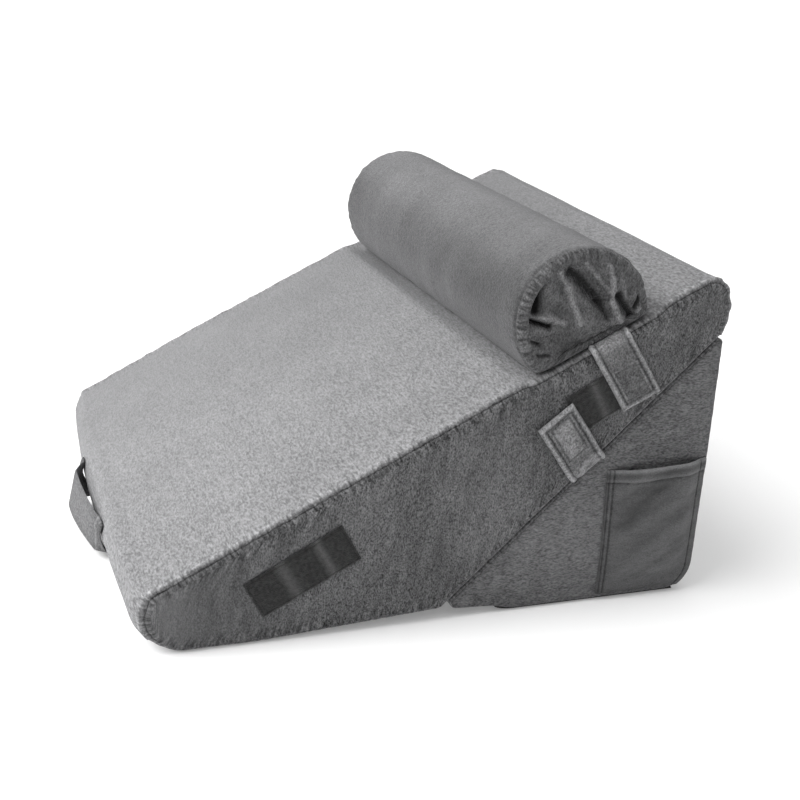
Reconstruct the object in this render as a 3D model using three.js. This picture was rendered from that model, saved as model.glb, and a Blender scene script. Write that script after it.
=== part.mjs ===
// A back-rest cushion set for a bed: a long wedge with a blunt nose, a triangular base
// wedge under its back end, and a head roll with a flat underside strapped across the
// slope. Each is a foam block in a plush cover. Millimetres, +Z up, the nose towards -X,
// the side with the straps and the pocket towards -Y.
import * as THREE from "three";

// Driving dimensions
const HALF = 301; // half of the long wedge's width
const BASE_HALF = 299; // half of the base wedge's width
const GAP = 0.35; // room left between pieces that touch
const RISE = 0.4989; // the slope's rise for each millimetre of depth
const NOSE_TOP = 66.7; // height at which the slope starts, above the nose
const JOIN = { x: 313, z: 17.6, rise: 0.95 }; // the slanting plane where the wedges meet
const BACK = 602; // depth of the base wedge's back at the floor
const EDGE = 9; // radius of the long wedge's sewn edges round each side panel
const BASE_EDGE = 4; // and of the base wedge's
const SIDE_FILL = 3; // how far the side panels bulge
const SIDE_SPAN = 70; // how far in from the edge the bulge is full
const CROWN = 6; // how far the slope bulges
const NOSE_FILL = 13.5; // how far the front of the nose bulges
const NOSE_TURN = { share: 0.9, reach: 30 }; // and falls back towards its two upright edges

const SLOPE = new THREE.Vector2(1, RISE).normalize(); // up the slope, in x and z
const LIFT = new THREE.Vector2(-SLOPE.y, SLOPE.x); // square to the slope, outwards

const ROLL = {
  along: 512.5, // middle of its near end, measured up the slope
  skew: -10, // its far end lies this much further up
  radius: 74.3,
  centre: 29.8, // its axis above the slope
  sunk: 4, // its flat underside below the slope
  near: -299, // its two ends
  far: 279,
  rim: 12, // radius of its sewn rims
  fill: 4, // how far its ends bulge
  facets: 60,
};
const DIP = { half: 70, ramp: 22, depth: ROLL.sunk + 0.4, fade: 36, margin: 6 };

const rollAlong = (y) => ROLL.along + (ROLL.skew * (y - ROLL.near)) / (ROLL.far - ROLL.near);
const smooth = (a, b, v) => THREE.MathUtils.smoothstep(v, a, b);
const slopePoint = (along, lift) =>
  new THREE.Vector2(0, NOSE_TOP).addScaledVector(SLOPE, along).addScaledVector(LIFT, lift);

// An outline in x and z from a table of corners, each rounded by an arc wider than the
// sewn edges. Every point keeps the direction that faces out. Straight stretches are cut
// into even steps.
function outlineOf(corners, step) {
  const points = [];
  const count = corners.length;
  const at = (i) => new THREE.Vector2(corners[(i + count) % count].x, corners[(i + count) % count].z);
  const arcs = corners.map((corner, i) => {
    const into = at(i).sub(at(i - 1)).normalize();
    const away = at(i + 1).sub(at(i)).normalize();
    const turn = Math.acos(THREE.MathUtils.clamp(into.dot(away), -1, 1));
    const cut = corner.radius * Math.tan(turn / 2);
    return { into, away, turn, cut, radius: corner.radius, tip: at(i) };
  });
  arcs.forEach((arc, i) => {
    const out = new THREE.Vector2(arc.into.y, -arc.into.x);
    const start = arc.tip.clone().addScaledVector(arc.into, -arc.cut);
    const middle = start.clone().addScaledVector(out, -arc.radius);
    const steps = Math.max(1, Math.ceil(arc.turn / (Math.PI / 9)));
    for (let k = 0; k <= steps; k += 1) {
      const facing = out.clone().rotateAround(new THREE.Vector2(), (arc.turn * k) / steps);
      points.push({ place: middle.clone().addScaledVector(facing, arc.radius), facing });
    }
    const next = arcs[(i + 1) % count];
    const from = points[points.length - 1].place;
    const to = next.tip.clone().addScaledVector(next.into, -next.cut);
    const pieces = Math.max(1, Math.round(from.distanceTo(to) / (corners[i].step ?? step)));
    const facing = new THREE.Vector2(arc.away.y, -arc.away.x);
    for (let k = 1; k < pieces; k += 1) {
      points.push({ place: from.clone().lerp(to, k / pieces), facing: facing.clone() });
    }
  });
  return points;
}

// A closed solid from rings of equal length, each end closed by a fan to its middle.
function loft(rings) {
  const size = rings[0].length;
  const positions = rings.flat().flatMap((p) => [p.x, p.y, p.z]);
  const index = [];
  for (let r = 0; r + 1 < rings.length; r += 1) {
    for (let i = 0; i < size; i += 1) {
      const a = r * size + i;
      const b = r * size + ((i + 1) % size);
      index.push(a, a + size, b, b, a + size, b + size);
    }
  }
  const ends = [0, rings.length - 1];
  ends.forEach((r, side) => {
    const hub = new THREE.Vector3();
    rings[r].forEach((p) => hub.addScaledVector(p, 1 / size));
    const centre = positions.length / 3;
    positions.push(hub.x, hub.y, hub.z);
    for (let i = 0; i < size; i += 1) {
      const a = r * size + i;
      const b = r * size + ((i + 1) % size);
      if (side === 0) index.push(a, b, centre);
      else index.push(b, a, centre);
    }
  });
  return solid(positions, index);
}

// A closed sheet between an outer and an inner face, both functions of u and v from 0
// to 1. Seen from outside, v points to the left of u.
function sheet(across, along, outer, inner) {
  const positions = [];
  const index = [];
  const spot = (face, i, j) => (face * (along + 1) + j) * (across + 1) + i;
  [outer, inner].forEach((shape) => {
    for (let j = 0; j <= along; j += 1) {
      for (let i = 0; i <= across; i += 1) {
        const p = shape(i / across, j / along);
        positions.push(p.x, p.y, p.z);
      }
    }
  });
  const quad = (a, b, c, d) => index.push(a, b, c, a, c, d);
  for (let j = 0; j < along; j += 1) {
    for (let i = 0; i < across; i += 1) {
      quad(spot(0, i, j), spot(0, i + 1, j), spot(0, i + 1, j + 1), spot(0, i, j + 1));
      quad(spot(1, i, j), spot(1, i, j + 1), spot(1, i + 1, j + 1), spot(1, i + 1, j));
    }
  }
  for (let i = 0; i < across; i += 1) {
    quad(spot(0, i, 0), spot(1, i, 0), spot(1, i + 1, 0), spot(0, i + 1, 0));
    quad(spot(0, i, along), spot(0, i + 1, along), spot(1, i + 1, along), spot(1, i, along));
  }
  for (let j = 0; j < along; j += 1) {
    quad(spot(0, 0, j), spot(0, 0, j + 1), spot(1, 0, j + 1), spot(1, 0, j));
    quad(spot(0, across, j), spot(1, across, j), spot(1, across, j + 1), spot(0, across, j + 1));
  }
  return solid(positions, index);
}

function solid(positions, index) {
  const geometry = new THREE.BufferGeometry();
  geometry.setAttribute("position", new THREE.Float32BufferAttribute(positions, 3));
  geometry.setIndex(index);
  geometry.computeVertexNormals();
  return geometry;
}

// Depths at which an outline crosses a height.
function crossings(outline, z) {
  return outline.flatMap((from, i) => {
    const to = outline[(i + 1) % outline.length];
    if (z < Math.min(from.y, to.y) || z > Math.max(from.y, to.y) || from.y === to.y) return [];
    return [THREE.MathUtils.lerp(from.x, to.x, (z - from.y) / (to.y - from.y))];
  });
}

// Distance from a point of a side panel to the panel's outline.
function insetOf(outline, x, z) {
  const point = new THREE.Vector2(x, z);
  let least = Infinity;
  outline.forEach((from, i) => {
    const to = outline[(i + 1) % outline.length];
    const edge = to.clone().sub(from);
    const t = THREE.MathUtils.clamp(point.clone().sub(from).dot(edge) / edge.lengthSq(), 0, 1);
    least = Math.min(least, point.distanceTo(from.clone().addScaledVector(edge, t)));
  });
  return least;
}

// How far a side panel stands out at a point: it curves in round its sewn edge and
// bulges a little in the middle.
function panelReach({ outline, half, edge }, x, z) {
  const inset = insetOf(outline, x, z);
  const curl = Math.max(0, edge - inset);
  const rounding = edge - Math.sqrt(edge * edge - curl * curl);
  const left = 1 - THREE.MathUtils.clamp((inset - edge) / SIDE_SPAN, 0, 1);
  return half - rounding + SIDE_FILL * (1 - left * left);
}

// A foam block: its outline carried across the width, with rounded sewn edges and
// bulging side panels. shape gives each point's place at each width.
function block(points, half, edge, shape, widths) {
  const ringAt = (y, inset) =>
    points.map((point) => {
      const p = shape(point, y).addScaledVector(point.facing, -inset);
      return new THREE.Vector3(p.x, y, p.y);
    });
  const side = (sign) => {
    const outline = ringAt(sign * half, 0).map((p) => new THREE.Vector2(p.x, p.z));
    const panel = { outline, half, edge };
    const rounds = [0, 30, 60, 90].map((degrees) => {
      const angle = THREE.MathUtils.degToRad(degrees);
      const ring = ringAt(sign * half, edge * (1 - Math.cos(angle)));
      const reach = half - edge + edge * Math.sin(angle);
      return ring.map((p) => new THREE.Vector3(p.x, sign * reach, p.z));
    });
    const rim = rounds[rounds.length - 1];
    const hub = rim.reduce((sum, p) => sum.addScaledVector(p, 1 / rim.length), new THREE.Vector3());
    const inner = [0.12, 0.26, 0.45, 0.72].map((share) =>
      rim.map((p) => {
        const q = p.clone().lerp(hub, share);
        q.y = sign * panelReach(panel, q.x, q.z);
        return q;
      }),
    );
    return { panel, rings: [...rounds, ...inner] };
  };
  const near = side(-1);
  const far = side(1);
  const middle = widths.map((y) => ringAt(y, 0));
  return {
    geometry: loft([...near.rings.reverse(), ...middle, ...far.rings]),
    near: near.panel,
  };
}

const joinHeight = (x) => JOIN.z + JOIN.rise * (x - JOIN.x);

// The long wedge. Corners run round the outline with the block on the left.
const wedgeCorners = [
  { x: 1, z: 0, radius: 44 }, // under the nose
  { x: 112, z: 0, radius: 60, step: 66 }, // where the underside starts to lift
  { x: 307, z: joinHeight(307), radius: 12, step: 58 }, // the bend onto the base wedge
  { x: 606, z: joinHeight(606), radius: 11 }, // bottom of the back end
  { x: 613, z: 322, radius: 24 }, // fullest point of the back end
  { x: 606, z: NOSE_TOP + RISE * 606, radius: 22, step: 19 }, // top of the back end
  { x: 1, z: NOSE_TOP + RISE, radius: 17 }, // top of the nose
  { x: -6, z: 44, radius: 16 }, // fullest point of the nose
];
const wedgeLength = 606 / SLOPE.x;

// The front of the nose bulges forward, and the slope bulges off itself and sinks in
// under the roll.
function wedgeShape({ place, facing }, y) {
  const onNose = smooth(0.45, 0.9, -facing.x);
  const edge = 1 - THREE.MathUtils.clamp((HALF - Math.abs(y)) / NOSE_TURN.reach, 0, 1);
  const fill = NOSE_FILL * Math.max(0, 1 - Math.abs((y + 60) / 360) ** 2.4);
  const front = fill * (1 - NOSE_TURN.share * edge * edge);
  if (onNose > 0) return place.clone().add(new THREE.Vector2(-onNose * front, 0));
  const onSlope = smooth(0.9, 0.999, facing.dot(LIFT));
  if (onSlope === 0) return place.clone();
  const along = place.clone().sub(new THREE.Vector2(0, NOSE_TOP)).dot(SLOPE);
  const length = 0.35 + 0.65 * smooth(0, 200, along) * smooth(0, 120, wedgeLength - along);
  const crown = CROWN * length * (1 - ((HALF - y) / (2 * HALF)) ** 2);
  const across = smooth(0, DIP.ramp, DIP.half + DIP.ramp - Math.abs(along - rollAlong(y)));
  const pressed = across * smooth(0, DIP.fade, ROLL.far + DIP.fade - DIP.margin - y);
  const lift = onSlope * (crown * (1 - pressed) - DIP.depth * pressed);
  return place.clone().addScaledVector(facing, lift);
}

const wedgePoints = outlineOf(wedgeCorners, 82);
const wedge = block(
  wedgePoints,
  HALF,
  EDGE,
  wedgeShape,
  [-284, -266, -220, -150, -75, 0, 75, 150, 215, 266, 284],
);

// The base wedge: a right triangle with a blunt toe that lifts clear of the floor.
const GRIP = 2.4; // thickness of the grip cloth under it
const under = GRIP + GAP;
const baseCorners = [
  { x: 318, z: 10.5, radius: 8 }, // underside of the toe
  { x: 366, z: 7.5, radius: 15 }, // where the grip cloth starts
  { x: 386, z: under, radius: 15, step: 90 },
  { x: BACK, z: under, radius: 34 },
  { x: BACK + 5, z: 170, radius: 200 },
  { x: BACK + 7, z: joinHeight(BACK + 7) - 0.7, radius: 4.5, step: 75 }, // the apex
  { x: 317, z: joinHeight(317) - 0.7, radius: 5 }, // top of the toe
];
const even = ({ place }) => place.clone();
const base = block(outlineOf(baseCorners, 70), BASE_HALF, BASE_EDGE, even, [-150, 0, 150]);

// The grip cloth: a flat sheet sewn under the base wedge, its front edge curled up.
function gripCloth() {
  const outline = { front: 370, back: 583, half: BASE_HALF - 5 };
  const curl = (u) => 4.4 * Math.exp(-u * 26);
  const point = (level) => (u, v) =>
    new THREE.Vector3(
      THREE.MathUtils.lerp(outline.front, outline.back, u),
      THREE.MathUtils.lerp(-outline.half, outline.half, v),
      level + Math.max(0, curl(u) - 0.3),
    );
  return sheet(14, 4, point(GRIP), point(0));
}

// The head roll: a round section with a flat underside, its corners rounded, carried
// across the slope. Each end is gathered into uneven folds. A row gives a fold's two
// ends, up the slope and off it from the roll's axis, its width, and how far it stands
// out, or in where that is negative.
const rollFolds = [
  { x: -5, z: 61, toX: -6, toZ: 10, width: 6, height: 3.5 },
  { x: 10, z: 52, toX: 15, toZ: -4, width: 8, height: -6 },
  { x: 46, z: 38, toX: 34, toZ: -20, width: 6, height: 3.5 },
  { x: 55, z: 22, toX: 42, toZ: -14, width: 7, height: -5 },
  { x: -56, z: 35, toX: -38, toZ: 17, width: 5, height: -5 },
  { x: -30, z: 56, toX: -38, toZ: 36, width: 9, height: -3.5 },
  { x: -64, z: 8, toX: -37, toZ: -7, width: 5, height: -3 },
];
const FLAT = ROLL.centre + ROLL.sunk; // the axis above the flat underside

function rollSection(radius, flat, corner, facets) {
  // The distance from the axis to the outline at an angle, with the two corners of the
  // flat blended by a soft minimum.
  const ring = [];
  for (let i = 0; i < facets; i += 1) {
    const angle = ((i + 0.5) / facets) * Math.PI * 2;
    const down = Math.max(-Math.sin(angle), 1e-6);
    const toFlat = flat / down;
    const soft = Math.max(corner - Math.abs(toFlat - radius), 0) / corner;
    const reach = Math.min(radius, toFlat) - (soft * soft * corner) / 4;
    ring.push({ angle, reach });
  }
  return ring;
}

function rollRing(y, inset, share, relief) {
  const axis = slopePoint(rollAlong(y), ROLL.centre);
  const low = new THREE.Vector2(6, -12); // where the rings of an end close
  return rollSection(ROLL.radius - inset, FLAT - inset, 16, ROLL.facets).map(({ angle, reach }) => {
    const rim = new THREE.Vector2(Math.cos(angle), Math.sin(angle)).multiplyScalar(reach);
    const local = rim.lerp(low, 1 - share);
    const place = axis.clone().addScaledVector(SLOPE, local.x).addScaledVector(LIFT, local.y);
    return new THREE.Vector3(place.x, y + relief(local), place.y);
  });
}

function foldRelief(local, sign) {
  return rollFolds.reduce((sum, f) => {
    const from = new THREE.Vector2(-sign * f.x, f.z);
    const run = new THREE.Vector2(-sign * f.toX, f.toZ).sub(from);
    const t = THREE.MathUtils.clamp(local.clone().sub(from).dot(run) / run.lengthSq(), 0, 1);
    const off = local.distanceTo(from.addScaledVector(run, t)) / f.width;
    return sum + f.height * Math.exp(-off * off);
  }, 0);
}

function rollEnd(sign, end) {
  const rim = [0, 35, 65, 90].map((degrees) => {
    const a = THREE.MathUtils.degToRad(degrees);
    const y = end - sign * ROLL.rim * (1 - Math.sin(a));
    return rollRing(y, ROLL.rim * (1 - Math.cos(a)), 1, () => 0);
  });
  const face = [0.9, 0.75, 0.57, 0.38, 0.18].map((share) =>
    rollRing(end, ROLL.rim, share, (local) => sign * (ROLL.fill * (1 - share) + foldRelief(local, sign))),
  );
  return [...rim, ...face];
}

function headRoll() {
  const near = rollEnd(-1, ROLL.near).reverse();
  const far = rollEnd(1, ROLL.far);
  const middle = [-200, -100, 0, 100, 180].map((y) => rollRing(y, 0, 1, () => 0));
  return loft([...near, ...middle, ...far]);
}

// A patch of loop tape sewn flat on the long wedge's side, its long edge up the slope.
const TAPE = { height: 44, tilt: 28.4, thickness: 1.6 };
function loopTape(x, z, length) {
  const tilt = THREE.MathUtils.degToRad(TAPE.tilt);
  const long = new THREE.Vector2(Math.cos(tilt), Math.sin(tilt));
  const up = new THREE.Vector2(-long.y, long.x);
  const point = (level) => (u, v) => {
    const p = new THREE.Vector2(x, z)
      .addScaledVector(long, (u - 0.5) * length)
      .addScaledVector(up, (v - 0.5) * TAPE.height);
    return new THREE.Vector3(p.x, -(panelReach(wedge.near, p.x, p.y) + level), p.y);
  };
  return sheet(8, 4, point(GAP + TAPE.thickness), point(GAP));
}

// A strap end: plush folded to a hem all round a sewn square. path gives its middle
// line and what faces out there for a share of its length; wide is its width direction.
const STRAP = { width: 46, thickness: 2.6, hem: 6.5, hemRise: 1.3 };
function strapEnd(path, wide, hemmed) {
  const steps = 18;
  const columns = [0, 0.06, 0.14, 0.2, 0.5, 0.8, 0.86, 0.94, 1];
  const relief = (across, along) => {
    const sides = Math.min(across, 1 - across) * STRAP.width;
    const end = hemmed(along);
    return STRAP.hemRise * (1 - smooth(STRAP.hem * 0.8, STRAP.hem * 1.2, Math.min(sides, end)));
  };
  const point = (level) => (u, v) => {
    const across = columns[Math.round(u * (columns.length - 1))];
    const { place, facing } = path(v);
    const shift = (across - 0.5) * STRAP.width;
    const rise = level === 0 ? 0 : level + relief(across, v);
    return place.clone().addScaledVector(wide, shift).addScaledVector(facing, rise);
  };
  return sheet(columns.length - 1, steps, point(STRAP.thickness), point(0));
}

const STAND = GAP + TAPE.thickness + GAP; // straps clear the tape under them

// The roll's strap: out from under the roll's rim, round the wedge's edge and down its side.
function rollStrap() {
  const side = 68;
  const lead = 0.35; // the angle at which it comes out from under the rim
  const radius = EDGE + STAND;
  const arc = radius * (Math.PI / 2 - lead);
  const total = arc + side;
  const start = slopePoint(528, -DIP.depth);
  const down = new THREE.Vector2(0.53, -0.848);
  const wide = new THREE.Vector3(-SLOPE.x, 0, -SLOPE.y);
  const spot = (p, y) => new THREE.Vector3(p.x, y, p.y);
  const path = (v) => {
    const s = v * total;
    const out = new THREE.Vector3(LIFT.x, 0, LIFT.y);
    const corner = start.clone().addScaledVector(LIFT, -EDGE);
    if (s < arc) {
      const angle = lead + s / radius;
      const p = corner.clone().addScaledVector(LIFT, radius * Math.cos(angle));
      const facing = out.multiplyScalar(Math.cos(angle)).add(new THREE.Vector3(0, -Math.sin(angle), 0));
      return { place: spot(p, -HALF + EDGE - radius * Math.sin(angle)), facing };
    }
    const p = corner.clone().addScaledVector(down, s - arc);
    const bulge = SIDE_FILL * smooth(0, 40, s - arc);
    return { place: spot(p, -HALF - STAND - bulge), facing: new THREE.Vector3(0, -1, 0) };
  };
  return strapEnd(path, wide, (v) => (1 - v) * total);
}

// The base wedge's strap: up out of the groove between the wedges and flat on the side.
function baseStrap() {
  const reach = 69; // from the groove up to the free end
  const radius = EDGE + STAND;
  const tuck = THREE.MathUtils.degToRad(50);
  const arc = radius * tuck;
  const total = reach + arc;
  const join = new THREE.Vector2(1, JOIN.rise).normalize();
  const square = new THREE.Vector2(join.y, -join.x); // towards the base wedge
  const up = new THREE.Vector2(-0.57, 0.82);
  const foot = new THREE.Vector2(462.5, joinHeight(462.5)).addScaledVector(square, -EDGE);
  const wide = new THREE.Vector3(0.79, 0, 0.613);
  const path = (v) => {
    const s = v * total;
    if (s < arc) {
      const angle = tuck * (1 - s / arc);
      const p = foot.clone().addScaledVector(square, radius * Math.sin(angle));
      const facing = new THREE.Vector3(
        square.x * Math.sin(angle),
        -Math.cos(angle),
        square.y * Math.sin(angle),
      );
      return { place: new THREE.Vector3(p.x, -HALF + EDGE - radius * Math.cos(angle), p.y), facing };
    }
    const p = foot.clone().addScaledVector(up, s - arc);
    const bulge = SIDE_FILL * smooth(0, 34, s - arc);
    return {
      place: new THREE.Vector3(p.x, -HALF - STAND - bulge, p.y),
      facing: new THREE.Vector3(0, -1, 0),
    };
  };
  return strapEnd(path, wide, (v) => (1 - v) * total);
}

// The carrying handle: a flat band sewn to the nose at both ends and bowed out between.
const HANDLE = {
  half: 101,
  sewn: 9, // length sewn down at each end
  low: 10,
  high: 55,
  plane: -17, // depth from which it bows out
  bowLow: 21, // how far its two edges bow
  bowHigh: 11,
  lean: 50, // its fullest point lies this far towards the far side
  thickness: 3,
  room: 1.8,
};
function noseFront(y, z) {
  const ring = wedgePoints.map((point) => wedgeShape(point, y));
  return Math.min(...crossings(ring, z));
}
function handleBow(y) {
  const free = HANDLE.half - HANDLE.sewn;
  const off = y - HANDLE.lean;
  const span = off < 0 ? free + HANDLE.lean : free - HANDLE.lean;
  const left = Math.abs(off) / span;
  return off < 0 ? 1 - left ** 1.7 : smooth(0, 0.8, 1 - left);
}
function handle() {
  const point = (level) => (u, v) => {
    const y = THREE.MathUtils.lerp(HANDLE.half, -HANDLE.half, u);
    const z = THREE.MathUtils.lerp(HANDLE.low, HANDLE.high, v);
    const bow = handleBow(y);
    const reach = HANDLE.plane - bow * THREE.MathUtils.lerp(HANDLE.bowLow, HANDLE.bowHigh, v);
    const sewn = noseFront(y, z) - HANDLE.room;
    const x = Math.min(sewn, THREE.MathUtils.lerp(sewn, reach, smooth(0, 0.3, bow)));
    return new THREE.Vector3(x - level, y, z);
  };
  return sheet(34, 8, point(HANDLE.thickness), point(0));
}

// The pocket: one layer of cloth sewn to the base wedge's side along its two sides and
// its foot. Its hemmed mouth stands a little open.
const POCKET = {
  left: 485,
  top: 155,
  lift: 4, // how much higher its mouth is at the rear
  foot: 9,
  room: 0.6,
  thickness: 2.2,
  gape: 8.5,
  hem: 14,
  hemRise: 1.1,
};
const rearEdge = (z) => Math.max(...crossings(base.near.outline, z));
function pocket() {
  const point = (level) => (evenU, evenV) => {
    const u = 1 - (1 - evenU) ** 1.7; // closer columns at the rear edge
    const v = evenV ** 1.3; // closer rows at the foot
    const z = THREE.MathUtils.lerp(POCKET.foot, POCKET.top + POCKET.lift * u, v);
    const x = THREE.MathUtils.lerp(POCKET.left, rearEdge(z) - 3.2, u);
    const across = smooth(0, 0.26, u) * smooth(0, 0.26, 1 - u);
    const open = POCKET.gape * across * smooth(0, 0.55, v);
    const hem = level === 0 ? 0 : POCKET.hemRise * smooth(-2, 0, z - (POCKET.top - POCKET.hem));
    const wall = panelReach(base.near, x, z);
    return new THREE.Vector3(x, -(wall + POCKET.room + open + level + hem), z);
  };
  return sheet(18, 17, point(POCKET.thickness), point(0));
}

// The finished set, each piece in its own colour, centred over the floor.
const set = new THREE.Group();
const plush = { color: 0x77787a, roughness: 0.95, metalness: 0 };
const tape = { color: 0x3c3d3f, roughness: 1, metalness: 0 };
const grip = { color: 0x2e2e30, roughness: 0.85, metalness: 0 };
const pieces = [
  ["long_wedge", wedge.geometry, plush],
  ["base_wedge", base.geometry, plush],
  ["head_roll", headRoll(), plush],
  ["grip_cloth", gripCloth(), grip],
  ["loop_tape_front", loopTape(154.4, 77.8, 114.5), tape],
  ["loop_tape_rear", loopTape(477.8, 241.9, 88.5), tape],
  ["roll_strap", rollStrap(), plush],
  ["base_strap", baseStrap(), plush],
  ["carry_handle", handle(), plush],
  ["side_pocket", pocket(), plush],
];
pieces.forEach(([name, geometry, finish]) => {
  const mesh = new THREE.Mesh(geometry, new THREE.MeshStandardMaterial(finish));
  mesh.name = name;
  set.add(mesh);
});
const reach = new THREE.Box3().setFromObject(set, true);
const middle = reach.getCenter(new THREE.Vector3());
set.position.set(-middle.x, -middle.y, -reach.min.z);

export default set;
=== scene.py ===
import bpy
import numpy as np
from mathutils import Matrix, Vector


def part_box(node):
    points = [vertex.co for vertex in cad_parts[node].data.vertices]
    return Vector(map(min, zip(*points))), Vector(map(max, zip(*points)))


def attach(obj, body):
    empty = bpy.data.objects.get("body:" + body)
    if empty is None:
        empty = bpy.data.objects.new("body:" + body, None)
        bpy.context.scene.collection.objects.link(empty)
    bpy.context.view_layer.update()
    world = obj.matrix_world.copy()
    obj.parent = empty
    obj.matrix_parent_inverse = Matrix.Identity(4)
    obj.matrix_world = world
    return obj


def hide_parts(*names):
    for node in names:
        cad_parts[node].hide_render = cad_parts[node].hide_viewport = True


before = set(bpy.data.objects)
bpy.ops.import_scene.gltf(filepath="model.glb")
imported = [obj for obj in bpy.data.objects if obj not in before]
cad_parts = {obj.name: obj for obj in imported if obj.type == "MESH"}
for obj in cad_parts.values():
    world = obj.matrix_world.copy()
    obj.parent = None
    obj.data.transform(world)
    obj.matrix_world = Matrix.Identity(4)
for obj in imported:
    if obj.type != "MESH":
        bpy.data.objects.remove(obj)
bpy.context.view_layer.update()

# The base wedge. A right triangle of firm foam in a plush cover: one panel runs round the toe, the slanting
# top, the back and the underside, and a flat panel is sewn into it on each side. It stands on its underside.
# Sizes are in millimetres, x back from the nose, y across from the middle, z up.
MM = 0.001
grip_low, grip_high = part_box("grip_cloth")
ORIGIN = np.array([grip_low.x - 370 * MM, (grip_low.y + grip_high.y) / 2, 0.0])
JOIN_X, JOIN_Z, JOIN_RISE = 313, 17.6, 0.95
SEAM_TURN = np.radians(52)
SIDE_FILL, SIDE_SPAN = 3.0, 70.0


def smooth(low, high, value):
    """Rises from 0 at low to 1 at high as t t (3 - 2 t), with t the share of the way held between 0 and 1."""
    t = np.clip((value - low) / (high - low), 0, 1)
    return t * t * (3 - 2 * t)


def bell(off, width):
    """Falls evenly on both sides from 1 at 0, as exp(-(off / width)^2)."""
    return np.exp(-((off / width) ** 2))


def join_height(x):
    """Height of the slanting plane where the two wedges meet: a straight line in x."""
    return JOIN_Z + JOIN_RISE * (x - JOIN_X)


def soft_noise(a, b, seed, octaves=2):
    """Soft noise of two coordinates, about -1 to 1. Each octave blends random values that stand at whole
    numbers by t t (3 - 2 t), and the next octave is twice as fine and half as high."""
    total = 0
    for octave in range(octaves):
        table = np.random.default_rng(seed + octave).uniform(-1, 1, (128, 128))
        p, q = a * 2**octave, b * 2**octave
        i, j = np.floor(p).astype(int), np.floor(q).astype(int)
        u, v = smooth(0, 1, p - i), smooth(0, 1, q - j)
        low = table[i % 128, j % 128] * (1 - u) + table[(i + 1) % 128, j % 128] * u
        high = table[i % 128, (j + 1) % 128] * (1 - u) + table[(i + 1) % 128, (j + 1) % 128] * u
        total = total + (low * (1 - v) + high * v) / 2**octave
    return total


def pleats(s, d, length, spacing, width, height, reach, seed):
    """Small folds that run away from a sewn seam. s is the place along the seam of that length, d the
    distance from it. Each fold is a ridge h exp(-(off / w)^2) that fades with exp(-d / reach), leans, and
    widens as it goes."""
    draw = np.random.default_rng(seed)
    count = int(length / spacing)
    place = (np.arange(count) + draw.uniform(-0.4, 0.4, count)) * length / count
    widths = width * draw.uniform(0.6, 1.5, count)
    heights = height * draw.uniform(-1, 1, count)
    reaches = reach * draw.uniform(0.4, 1.6, count)
    lean = draw.uniform(-0.35, 0.35, count)
    total = np.zeros(np.broadcast(s, d).shape)
    for k in range(count):
        off = (s - place[k] - lean[k] * d + length / 2) % length - length / 2
        spread = widths[k] * (1 + d / reaches[k] * 0.4)
        total += heights[k] * np.exp(-((off / spread) ** 2) - d / reaches[k])
    return total


def rounded_outline(corners, count):
    """Points round a closed outline with the block on the left, from its least x by way of the underside.
    Each corner (x, z, radius) is an arc that touches both of its sides. The two chains to the greatest x
    and back have count / 2 steps each, three times closer on the arcs. Gives x, z, facing angle, place along
    the outline, and its whole length."""
    table = np.array([corner[:3] for corner in corners], float)
    tips, radii = table[:, :2], table[:, 2]
    into = tips - np.roll(tips, 1, axis=0)
    into /= np.linalg.norm(into, axis=1)[:, None]
    away = np.roll(into, -1, axis=0)
    turns = np.arctan2(into[:, 0] * away[:, 1] - into[:, 1] * away[:, 0], (into * away).sum(axis=1))
    first = np.arctan2(-into[:, 0], into[:, 1])
    pieces = []
    for tip, radius, along, turn, start in zip(tips, radii, into, turns, first):
        out = np.array([np.cos(start), np.sin(start)])
        middle = tip - along * radius * np.tan(turn / 2) - out * radius
        angle = start + np.linspace(0, turn, 60)
        arc = middle + radius * np.stack([np.cos(angle), np.sin(angle)], axis=1)
        if pieces:
            share = np.linspace(0, 1, 400)[1:-1, None]
            line = pieces[-1][-1, :2] * (1 - share) + arc[0] * share
            pieces.append(np.column_stack([line, np.full(len(line), start), np.zeros(len(line))]))
        pieces.append(np.column_stack([arc, angle, np.ones(60)]))
    share = np.linspace(0, 1, 400)[1:-1, None]
    line = pieces[-1][-1, :2] * (1 - share) + pieces[0][0, :2] * share
    pieces.append(np.column_stack([line, np.full(len(line), first[0]), np.zeros(len(line))]))
    path = np.concatenate(pieces)
    path = np.roll(path, -int(path[:, 0].argmin()), axis=0)
    path = np.concatenate([path, path[:1]])
    path[:, 2] = np.unwrap(path[:, 2])
    steps = np.linalg.norm(np.diff(path[:, :2], axis=0), axis=1)
    length = np.concatenate([[0], np.cumsum(steps)])
    weight = np.concatenate([[0], np.cumsum(steps * (1 + 2 * path[1:, 3]))])
    back = int(path[:, 0].argmax())
    half = count // 2
    chains = np.linspace(0, weight[back], half + 1)[:-1], np.linspace(weight[back], weight[-1], half + 1)[:-1]
    stations = np.interp(np.concatenate(chains), weight, length)
    x, z, facing = (np.interp(stations, length, path[:, k]) for k in range(3))
    return x, z, facing, stations, length[-1]


def distance_to_loop(x, z, loop_x, loop_z):
    """Least distance from points to the straight pieces of a closed loop."""
    least = np.full(x.shape, 1e9)
    for i in range(len(loop_x)):
        ax, az = loop_x[i - 1], loop_z[i - 1]
        ex, ez = loop_x[i] - ax, loop_z[i] - az
        t = np.clip(((x - ax) * ex + (z - az) * ez) / (ex * ex + ez * ez + 1e-12), 0, 1)
        least = np.minimum(least, np.hypot(x - ax - t * ex, z - az - t * ez))
    return least


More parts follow.
